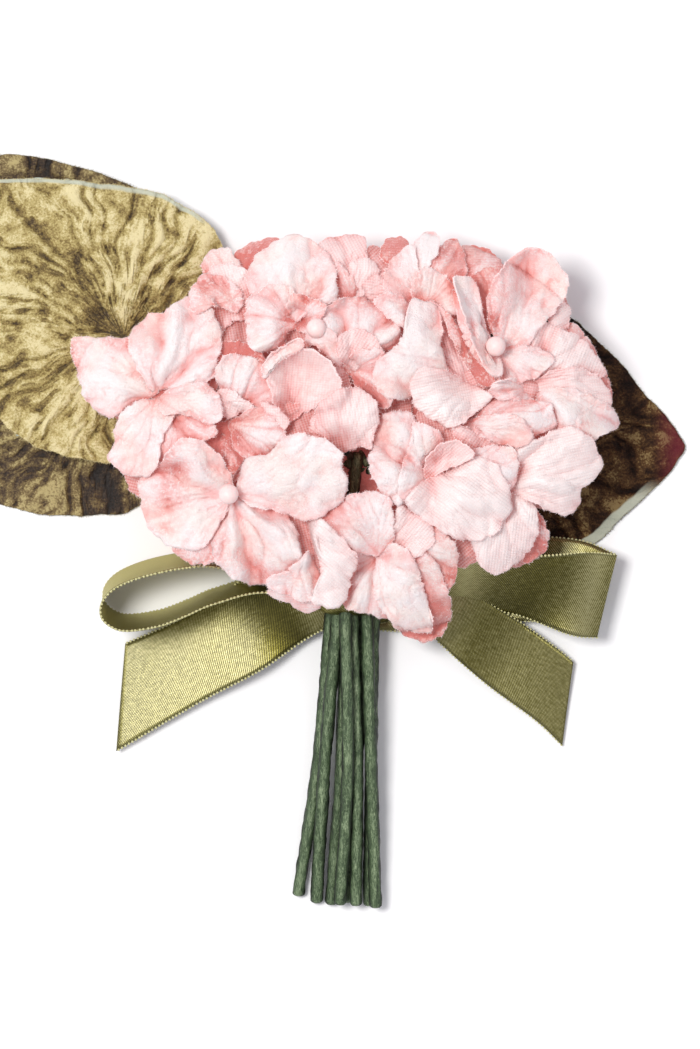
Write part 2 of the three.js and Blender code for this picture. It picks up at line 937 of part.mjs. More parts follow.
function stemPath({ knot: [x, z], middle: [middleX, middleZ], end }) {
  const spread = 1.08;
  return [
    [2.4 + x * spread, 13.5, 2.4 + z * spread],
    [0.6 + x * spread, -4, 0.3 + z * spread],
    [x, knotStation, z],
    [middleX, middleStation, middleZ],
    end,
  ];
}

const stem = (form) => rod(stemPath(form), stemDiameter, 8, 10);
const stemRoom = (form) => rod(stemPath(form), stemDiameter + clearance * 4, 6, 6);

// ---------------------------------------------------------------- leaves

// Each leaf's outline and vein centre are read off the picture like the petals'. Its tip points along
// `heading` in degrees, its rim droops and `wire` is its petiole's way to the knot in millimetres.
const leaves = {
  leaf_left: {
    vein: [123, 337], heading: 141.5, height: 6, droop: 1,
    rim: [
      [-65, 187], [-36, 181], [0, 178], [65, 180], [130, 187], [160, 195], [190, 210], [220, 240],
      [232, 290], [222, 350], [196, 400], [158, 440], [107, 462], [52, 452], [26, 441], [0, 420],
      [-25, 379], [-44, 319], [-60, 253],
    ],
    wire: [[-36, 30, 6], [-22, 16, 3.4], [-9, -1, 4.8], [-6.9, -7.5, 5.2]],
  },
  leaf_left_back: {
    vein: [113, 322], heading: 146, height: 3.5, droop: 0.6,
    rim: [
      [-68, 200], [-38, 168], [0, 155], [26, 156], [52, 160], [78, 167], [105, 174], [128, 184],
      [170, 214], [204, 260], [214, 310], [196, 352], [150, 382], [90, 400], [30, 394], [-20, 360],
      [-48, 310], [-64, 250],
    ],
    wire: [[-29, 33, 3.4], [-12, 24, 3.2], [-1.5, 8, 1.6], [-1, -1, 1.4]],
  },
  leaf_left_low: {
    vein: [118, 388], heading: 190, height: 1.1, droop: 0.6,
    rim: [
      [-68, 421], [-52, 462], [-28, 488], [0, 504], [52, 516], [110, 514], [139, 507], [172, 488],
      [196, 448], [202, 396], [184, 344], [140, 306], [80, 292], [20, 302], [-25, 336], [-54, 376],
    ],
    wire: [[-32, 27, 1.4], [-18, 12, 1.3], [-8, -1, 1.5], [-6.4, -7.5, 2]],
  },
  leaf_right: {
    vein: [466, 451], heading: 1, height: 4.5, droop: 4,
    rim: [
      [686, 447], [679, 459], [666, 477], [639, 502], [613, 527], [596, 542], [566, 562],
      [530, 574], [486, 578], [440, 566], [404, 540], [382, 500], [377, 452], [388, 400],
      [420, 350], [468, 320], [520, 308], [566, 317], [586, 331], [606, 350], [626, 371],
      [643, 393], [666, 416], [681, 436],
    ],
    wire: [[9, 12, 4.2], [9.6, 2, 2.4], [9.8, -6, 2.2]],
  },
};
const leafRibs = 13;

// A broad pointed blade with ribs that fan out from its vein centre.
function leafBlade({ vein, heading, height, droop, rim }, extra) {
  const { nearest } = rimAround(rim, new THREE.Vector3(...vein, 0));
  return plate(leafRibs * 3, 3, leafThickness + extra, (angle, reach) => {
    const turned = angle + THREE.MathUtils.degToRad(heading);
    const out = (nearest(turned).out + extra / 2 / picture.dotSize) * reach;
    const rib = leafRibHeight * Math.cos(angle * leafRibs) * Math.sin(Math.PI * Math.min(reach, 1));
    const z = height + rib - droop * reach * reach;
    return onTable(vein[0] + out * Math.cos(turned), vein[1] - out * Math.sin(turned), z);
  });
}

function leaf(form, extra = 0) {
  return leafBlade(form, extra).add(rod(form.wire, petioleDiameter + extra, 6, 8));
}

// ---------------------------------------------------------------- ribbon bow

// The left loop stands on its edge and leans towards the stem ends.
const leftLoopLean = [0.2, -2.8, 15.8];
const leftLoopHeight = 8.25;
const leftLoop = [
  [-2, -12.2], [-15.5, -9.6], [-25, -6.7], [-31.2, -6.8], [-38.4, -8.3], [-43.7, -10.4], [-46.3, -13],
  [-46.6, -15.8], [-44.8, -17.7], [-41.8, -18.5], [-35.9, -17.6], [-30.8, -15.7], [-25.3, -13.4],
  [-15.5, -11.3], [-2, -14.2],
].map(([x, y]) => ({ at: [x, y, leftLoopHeight], across: leftLoopLean }));

// The tails lie flat; the right loop has a flat lower layer and an upper one that turns over.
const ribbonStrips = [
  { steps: 22, stations: leftLoop },
  {
    steps: 6,
    stations: [
      { at: [0, -12.5, 7.4], across: [0, 1, 0] },
      { at: [-11.5, -14.5, 6], across: [-0.5, 1, 0.04] },
      { at: [-21.3, -20.9, 4.3], across: [-0.55, 0.85, -0.02] },
      { at: [-31, -26.1, 2.8], across: [-0.3, 0.9, -0.08] },
      { at: [-43.5, -32.8, 1.3], across: [0.08, 1, -0.08], slant: 1.28 },
    ],
  },
  {
    steps: 8,
    stations: [
      { at: [4, -12, 1.5], across: [0, 1, 0] },
      { at: [17, -12.3, 1.7], across: [0, 1, 0] },
      { at: [30.3, -10.4, 2.6], across: [-0.05, 1, 0] },
      { at: [42.1, -10.9, 4.2], across: [0.1, 1, 0] },
      { at: [48.4, -13.5, 7.2], across: [0.24, 1, 0] },
    ],
  },
  {
    steps: 8,
    stations: [
      { at: [5, -14, 7.5], across: [2, 8, 9] },
      { at: [18, -11, 9.2], across: [0, 9, 12] },
      { at: [32.7, -11.3, 10], across: [4, 9, 9] },
      { at: [42.8, -13, 10], across: [2.4, 12, 2.6] },
      { at: [48.4, -13.5, 7.7], across: [3.6, 15, 0.2] },
    ],
  },
  {
    steps: 6,
    stations: [
      { at: [3.5, -12, 7], across: [0.4, 1, 0] },
      { at: [17.2, -16.5, 5.2], across: [0.5, 1, 0.08] },
      { at: [28, -23.7, 3.4], across: [0.5, 1, 0.06] },
      { at: [35.4, -29, 2.1], across: [0.3, 1, 0.06] },
      { at: [41.2, -34, 1.2], across: [0.13, 1, 0.06] },
    ],
  },
];

// The wrapped knot: a soft block with a flat underside around the stems.
function knot() {
  return solid(bend(new THREE.SphereGeometry(1, 14, 10), (x, y, z) => {
    const squareness = 0.62;
    const soft = (value) => Math.sign(value) * Math.abs(value) ** squareness;
    return point([
      knotCentre[0] + knotHalf[0] * soft(x),
      knotCentre[1] + knotHalf[1] * soft(y),
      Math.max(knotHeight / 2 + (knotHeight / 2 + 0.4) * soft(z), 0),
    ]);
  }));
}

function ribbonBow() {
  return join([knot(), ...ribbonStrips.map(({ stations, steps }) => strip(stations, steps))]);
}

// ---------------------------------------------------------------- the bunch

const velvetPetal = new THREE.MeshStandardMaterial({ color: 0xf3cfcf, roughness: 0.95, metalness: 0 });
const pearl = new THREE.MeshStandardMaterial({ color: 0xf8e2e0, roughness: 0.5, metalness: 0 });
const wrappedWire = new THREE.MeshStandardMaterial({ color: 0x6b8c60, roughness: 0.75, metalness: 0 });
const velvetGold = new THREE.MeshStandardMaterial({ color: 0xb59f5e, roughness: 0.8, metalness: 0 });
const velvetDark = new THREE.MeshStandardMaterial({ color: 0x4b3a24, roughness: 0.8, metalness: 0 });
const satin = new THREE.MeshStandardMaterial({ color: 0x9a9a55, roughness: 0.35, metalness: 0 });

const group = new THREE.Group();

const leafSolids = Object.fromEntries(Object.entries(leaves).map(([name, form]) => [name, leaf(form)]));
const stemRooms = stems.map(stemRoom);
const leafRooms = Object.values(leaves).map((form) => leaf(form, clearance * 2));
const pipRooms = Object.values(pipPlaces).map((place) => ball(place, pipDiameter + clearance * 2));

const bow = ribbonBow();
let bowTrimmed = bow;
for (const room of [...stemRooms, ...leafRooms]) bowTrimmed = bowTrimmed.subtract(room);
bowTrimmed = largestPiece(bowTrimmed);

let head = flowerHead();
for (const room of [...stemRooms, ...leafRooms, ...pipRooms]) head = head.subtract(room);
head = largestPiece(head.subtract(bow));

group.add(part('flower_head', head, velvetPetal));
for (const [name, place] of Object.entries(pipPlaces)) {
  group.add(part(name, ball(place, pipDiameter), pearl));
}
stems.forEach((form, i) => group.add(part(`stem_${i + 1}`, stem(form), wrappedWire)));
for (const [name, whole] of Object.entries(leafSolids)) {
  group.add(part(name, whole, name === 'leaf_left' ? velvetGold : velvetDark));
}
group.add(part('ribbon_bow', bowTrimmed, satin));

group.position.set(-footprintCentre[0], -footprintCentre[1], 0);
export default group;
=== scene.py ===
import math
import random

import bmesh
import bpy
import numpy as np
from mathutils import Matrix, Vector, noise


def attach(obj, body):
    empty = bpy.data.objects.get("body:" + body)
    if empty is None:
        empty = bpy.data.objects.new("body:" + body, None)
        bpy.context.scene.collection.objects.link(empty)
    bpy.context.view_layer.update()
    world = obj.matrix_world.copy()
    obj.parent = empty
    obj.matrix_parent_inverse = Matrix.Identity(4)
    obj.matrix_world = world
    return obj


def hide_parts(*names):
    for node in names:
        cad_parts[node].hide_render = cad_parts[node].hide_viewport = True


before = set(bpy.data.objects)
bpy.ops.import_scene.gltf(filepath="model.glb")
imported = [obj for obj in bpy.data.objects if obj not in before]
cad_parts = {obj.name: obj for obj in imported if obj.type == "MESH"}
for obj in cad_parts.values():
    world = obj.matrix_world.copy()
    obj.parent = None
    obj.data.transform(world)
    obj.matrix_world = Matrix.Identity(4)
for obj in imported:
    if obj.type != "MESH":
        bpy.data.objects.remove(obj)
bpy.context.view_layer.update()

mm = 0.001
weldReach = 1e-7  # metres: points nearer than this are one

# Places below are millimetres from the middle of the picture; the frame's origin is the footprint's.
bunch = dict(footprint=(-8.1, -1.2), seed=7)


def toFrame(place):
    x, y, z = place
    return Vector(((x - bunch["footprint"][0]) * mm, (y - bunch["footprint"][1]) * mm, z * mm))


class Wire:
    # a shader socket that takes part in sums and products; each sum adds its own node
    def __init__(self, finish, socket):
        self.finish = finish
        self.socket = socket

    def reckon(self, operation, first, second=None):
        values = {0: first} if second is None else {0: first, 1: second}
        return self.finish.node("ShaderNodeMath", dict(operation=operation), values)

    def __add__(self, other):
        return self.reckon("ADD", self, other)

    __radd__ = __add__

    def __sub__(self, other):
        return self.reckon("SUBTRACT", self, other)

    def __rsub__(self, other):
        return self.reckon("SUBTRACT", other, self)

    def __mul__(self, other):
        return self.reckon("MULTIPLY", self, other)

    __rmul__ = __mul__

    def clamped(self):
        held = self.reckon("ADD", self, 0.0)
        held.socket.node.use_clamp = True
        return held

    def above(self, other):
        return self.reckon("GREATER_THAN", self, other)

    def sine(self):
        return self.reckon("SINE", self)

    def exponent(self):
        return self.reckon("EXPONENT", self)


class Finish:
    # one material: node() adds any node, the rest are the few mixes used again and again
    def __init__(self, name, **shader):
        self.material = bpy.data.materials.new(name)
        self.material.use_nodes = True
        self.tree = self.material.node_tree
        self.tree.nodes.clear()
        self.output = self.tree.nodes.new("ShaderNodeOutputMaterial")
        self.shader = self.tree.nodes.new("ShaderNodeBsdfPrincipled")
        self.tree.links.new(self.shader.outputs[0], self.output.inputs["Surface"])
        self.set(**shader)

    def put(self, socket, value):
        if isinstance(value, Wire):
            self.tree.links.new(value.socket, socket)
        elif isinstance(value, tuple) and len(value) == 3 and socket.type == "RGBA":
            socket.default_value = (*value, 1.0)
        else:
            socket.default_value = value

    def set(self, **values):
        for name, value in values.items():
            self.put(self.shader.inputs[name.replace("_", " ")], value)

    def node(self, kind, settings=None, values=None, output=0):
        made = self.tree.nodes.new(kind)
        for name, value in (settings or {}).items():
            if name == "stops":
                ramp = made.color_ramp
                while len(ramp.elements) < len(value):
                    ramp.elements.new(0.5)
                for element, (place, colour) in zip(ramp.elements, value):
                    element.position = place
                    element.color = (*colour, 1.0)
            else:
                setattr(made, name, value)
        for name, value in (values or {}).items():
            self.put(made.inputs[name], value)
        return Wire(self, made.outputs[output])

    def attribute(self, name):
        return self.node("ShaderNodeAttribute", dict(attribute_name=name), output="Fac")

    def vector(self, name):
        return self.node("ShaderNodeAttribute", dict(attribute_name=name), output="Vector")

    def place(self):
        return self.node("ShaderNodeTexCoord", output="Object")

    def uv(self):
        return self.node("ShaderNodeTexCoord", output="UV")

    def stretched(self, vector, scale):
        return self.node("ShaderNodeMapping", values={"Vector": vector, "Scale": scale})

    def grain(self, vector, period, detail=2.0, roughness=0.5, distortion=0.0):
        # soft noise whose features are about `period` millimetres across
        values = {"Vector": vector, "Scale": 1.0 / (period * mm), "Detail": detail,
                  "Roughness": roughness, "Distortion": distortion}
        return self.node("ShaderNodeTexNoise", values=values)

    def spread(self, value, low, high, toLow=0.0, toHigh=1.0):
        values = {"Value": value, "From Min": low, "From Max": high, "To Min": toLow, "To Max": toHigh}
        return self.node("ShaderNodeMapRange", values=values)

    def mix(self, factor, first, second, blend="MIX"):
        settings = dict(data_type="RGBA", blend_type=blend)
        return self.node("ShaderNodeMix", settings, {0: factor, 6: first, 7: second}, output=2)

    def bump(self, height, distance, strength):
        # `distance` is the relief's depth in millimetres
        values = {"Height": height, "Distance": distance * mm, "Strength": strength}
        return self.node("ShaderNodeBump", values=values)

    def ramp(self, value, *stops):
        return self.node("ShaderNodeValToRGB", dict(stops=stops), {0: value})

    def acrossAlong(self, uv):
        # the two ways of a piece's own flat map, as one wire each
        parts = self.node("ShaderNodeSeparateXYZ", values={0: uv})
        return parts, Wire(self, parts.socket.node.outputs[1])


def gridMesh(acrossCells, alongCells):
    bm = bmesh.new()
    bmesh.ops.create_grid(bm, x_segments=acrossCells, y_segments=alongCells, size=1.0)
    bm.verts.index_update()
    return bm


def gridShape(acrossCells, alongCells):
    # the grid's own vertex places, from -1 to 1 both ways, as one array
    bm = gridMesh(acrossCells, alongCells)
    flat = np.array([vertex.co[:2] for vertex in bm.verts])
    bm.free()
    return flat


def roundGrid(x, y):
    # the square grid pressed round: each place's share of the way out, and its angle
    u, v = x * np.sqrt(1 - y * y / 2), y * np.sqrt(1 - x * x / 2)
    return np.hypot(u, v), np.arctan2(v, u)


def setPlaces(bm, places):
    for vertex, place in zip(bm.verts, places):
        vertex.co = toFrame(place)


def setField(bm, name, values):
    layer = bm.verts.layers.float.new(name)
    for vertex, value in zip(bm.verts, values):
        vertex[layer] = float(value)


def setVector(bm, name, values):
    layer = bm.verts.layers.float_vector.new(name)
    for vertex, value in zip(bm.verts, values):
        vertex[layer] = value


def setUv(bm, flat):
    layer = bm.loops.layers.uv.verify()
    for face in bm.faces:
        for loop in face.loops:
            loop[layer].uv = flat[loop.vert.index]


def finishMesh(name, parts, materials, smooth=True):
    # joins several bmeshes into one object at the origin
    whole = bmesh.new()
    for part in parts:
        scrap = bpy.data.meshes.new("scrap")
        part.to_mesh(scrap)
        whole.from_mesh(scrap)
        bpy.data.meshes.remove(scrap)
        part.free()
    for face in whole.faces:
        face.smooth = smooth
    mesh = bpy.data.meshes.new(name)
    whole.to_mesh(mesh)
    whole.free()
    made = bpy.data.objects.new(name, mesh)
    bpy.context.scene.collection.objects.link(made)
    for material in materials:
        mesh.materials.append(material)
    return made


def thicken(made, thickness, offset=0.0, backMaterial=0, rimMaterial=0):
    solidify = made.modifiers.new("thickness", "SOLIDIFY")
    solidify.thickness = thickness * mm
    solidify.offset = offset
    solidify.material_offset = backMaterial
    solidify.material_offset_rim = rimMaterial


def catmullRom(p0, p1, p2, p3, f):
    # the place a share f of the way from p1 to p2, on a smooth curve through all four
    return 0.5 * (2 * p1 + (p2 - p0) * f + (2 * p0 - 5 * p1 + 4 * p2 - p3) * f * f
                  + (3 * p1 - 3 * p2 + p3 - p0) * f ** 3)


def smoothCurve(points, count):
    # a smooth curve through the points, sampled evenly from each to the next
    points = [Vector(point) for point in points]
    ends = [2 * points[0] - points[1], *points, 2 * points[-1] - points[-2]]
    samples = []
    for i in range(count):
        t = i / (count - 1) * (len(points) - 1)
        k = min(int(t), len(points) - 2)
        samples.append(catmullRom(*ends[k:k + 4], t - k))
    return samples


def closedCurve(points, perSpan=10):
    # a smooth closed curve through the points
    points = np.array(points, float)
    count = len(points)
    spans = [[points[(k + ahead) % count] for ahead in (-1, 0, 1, 2)] for k in range(count)]
    return np.array([catmullRom(*span, f) for span in spans for f in np.arange(perSpan) / perSpan])


def distances(path):
    # how far along the path each of its places lies
    travelled = [0.0]
    for here, there in zip(path, path[1:]):
        travelled.append(travelled[-1] + (there - here).length)
    return travelled


def tubeMesh(points, radius, around, alongCells, shape=None):
    # a closed round tube; `shape` may change the radius by angle, distance along and whole length
    path = smoothCurve(points, alongCells + 1)
    bm = gridMesh(around, alongCells)
    travelled = distances(path)
    uv, facing, frames = [], [], []
    side = Vector((0, 0, 1))
    for i, here in enumerate(path):
        ahead = (path[min(i + 1, alongCells)] - path[max(i - 1, 0)]).normalized()
        side = (side - ahead * side.dot(ahead)).normalized()
        frames.append((here, side.copy(), ahead.cross(side)))
    for vertex in bm.verts:
        i = round((vertex.co.y + 1) / 2 * alongCells)
        angle = (vertex.co.x + 1) * math.pi
        here, first, second = frames[i]
        reach = radius * (shape(angle, travelled[i], travelled[-1]) if shape else 1.0)
        outward = first * math.cos(angle) + second * math.sin(angle)
        vertex.co = toFrame(here + outward * reach)
        uv.append((angle * radius * mm, travelled[i] * mm))
        # facing: how far a place faces straight up or down, for the painted light on the wrapped paper
        facing.append(abs(outward.z))
    setUv(bm, uv)
    setField(bm, "facing", facing)
    bmesh.ops.remove_doubles(bm, verts=bm.verts[:], dist=weldReach)
    bmesh.ops.holes_fill(bm, edges=[edge for edge in bm.edges if edge.is_boundary], sides=0)
    bmesh.ops.recalc_face_normals(bm, faces=bm.faces[:])
    return bm


def ride(made, slot, *nodes):
    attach(made, "root")
    if nodes:
        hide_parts(*nodes)


def smoothStep(low, high, value):
    t = np.clip((value - low) / (high - low), 0.0, 1.0)
    return t * t * (3 - 2 * t)


def lumps(values, period, seed):
    # noise at many places at once; the seed only moves it to another stretch of the same noise
    shift = Vector((seed * 3.7, seed * 1.3, seed * 2.1))
    return np.array([noise.noise(Vector(value) / period + shift) for value in values])


# Velvet petals, in millimetres.
petalStyle = dict(
    cells=44,
    thickness=0.26,
    gap=0.3,  # between a petal and those it lies on
    liftLimit=7.0,
    drape=(16, 3),  # passes that spread a petal's lift, and that soften it
    throatDepth=3.2,
    throatReach=5.0,
    throatShade=3.5,
    free=(0.6, 5.0),  # how far from the throat the relief begins and is full
    liftFree=(0.5, 4.0),  # the same for the lift over lower petals
    fullSize=8.0,  # smaller petals have less relief
    fray=0.13,
    lobes=1.3,  # to a millimetre of reach
    waver=0.28,
    ruffle=0.95,
    frill=0.3,
    pleat=1.1,
    groove=1.0,
    fineGroove=0.3,
    crumple=0.7,
    crush=0.1,
    roll=0.16,  # how far the very edge turns down, and over what width
    rollReach=0.45,
    bendPeriod=6.0,
    crumplePeriods=(5.0, 2.2),
    broadFolds=(2.6, 0.5, 0.10),  # how fast grooves change round the throat, with the bend, outwards
    fineFolds=(7.5, 0.8, 0.22),
    grooveWidth=0.16,
    fineWidth=0.18,
    crushFolds=(9, 0.5, 0.6),
)

# The map of how high the head reaches, and how far round and how deep it looks for a sunk place, which the
# petals' colour paints in shade.
mapStyle = dict(cell=0.5, low=(-70.0, -40.0), size=(140, 110), bottom=-50.0, shadePasses=14,
                shadeDepth=2.2)

# The head is a low dome; places on the picture are read off at `step` millimetres a dot, as seen
# from `eye` millimetres above the table.
picture = dict(step=0.19, middle=(350, 524.5), eye=1000.0)
dome = dict(middle=(345, 430), reach=(280, 205), edge=13.0, rise=16.0, slope=10.0, hollow=(355, 470))


def domeShare(x, y):
    # 0 in the dome's middle, 1 at its rim
    return np.hypot((x - dome["middle"][0]) / dome["reach"][0], (y - dome["middle"][1]) / dome["reach"][1])


def domeHeight(x, y):
    out = domeShare(x, y)
    inside = dome["edge"] + dome["rise"] * np.sqrt(np.maximum(1 - out * out, 0))
    return inside - dome["slope"] * np.maximum(out - 1, 0)


def onTable(x, y, z):
    # a place on the picture at height z, in millimetres from the picture's middle
    scale = picture["step"] * (1 - z / picture["eye"])
    return (x - picture["middle"][0]) * scale, (picture["middle"][1] - y) * scale


def petal(layer, rim, tone, weave=False, level=0.0, bulge=0.6, fold=1.0, pleats=9, ruffle=1.0,
          blushAndShade=()):
    # rim places are (x, y) or (x, y, height over the dome); the last argument lists spots (x, y, reach,
    # strength) of deeper tone, partly the cloth's own dye and partly painted shade in cups and folds
    return dict(layer=layer, rim=rim, tone=tone, weave=weave, level=level, bulge=bulge, fold=fold,
                pleats=pleats, ruffle=ruffle, blushAndShade=blushAndShade)
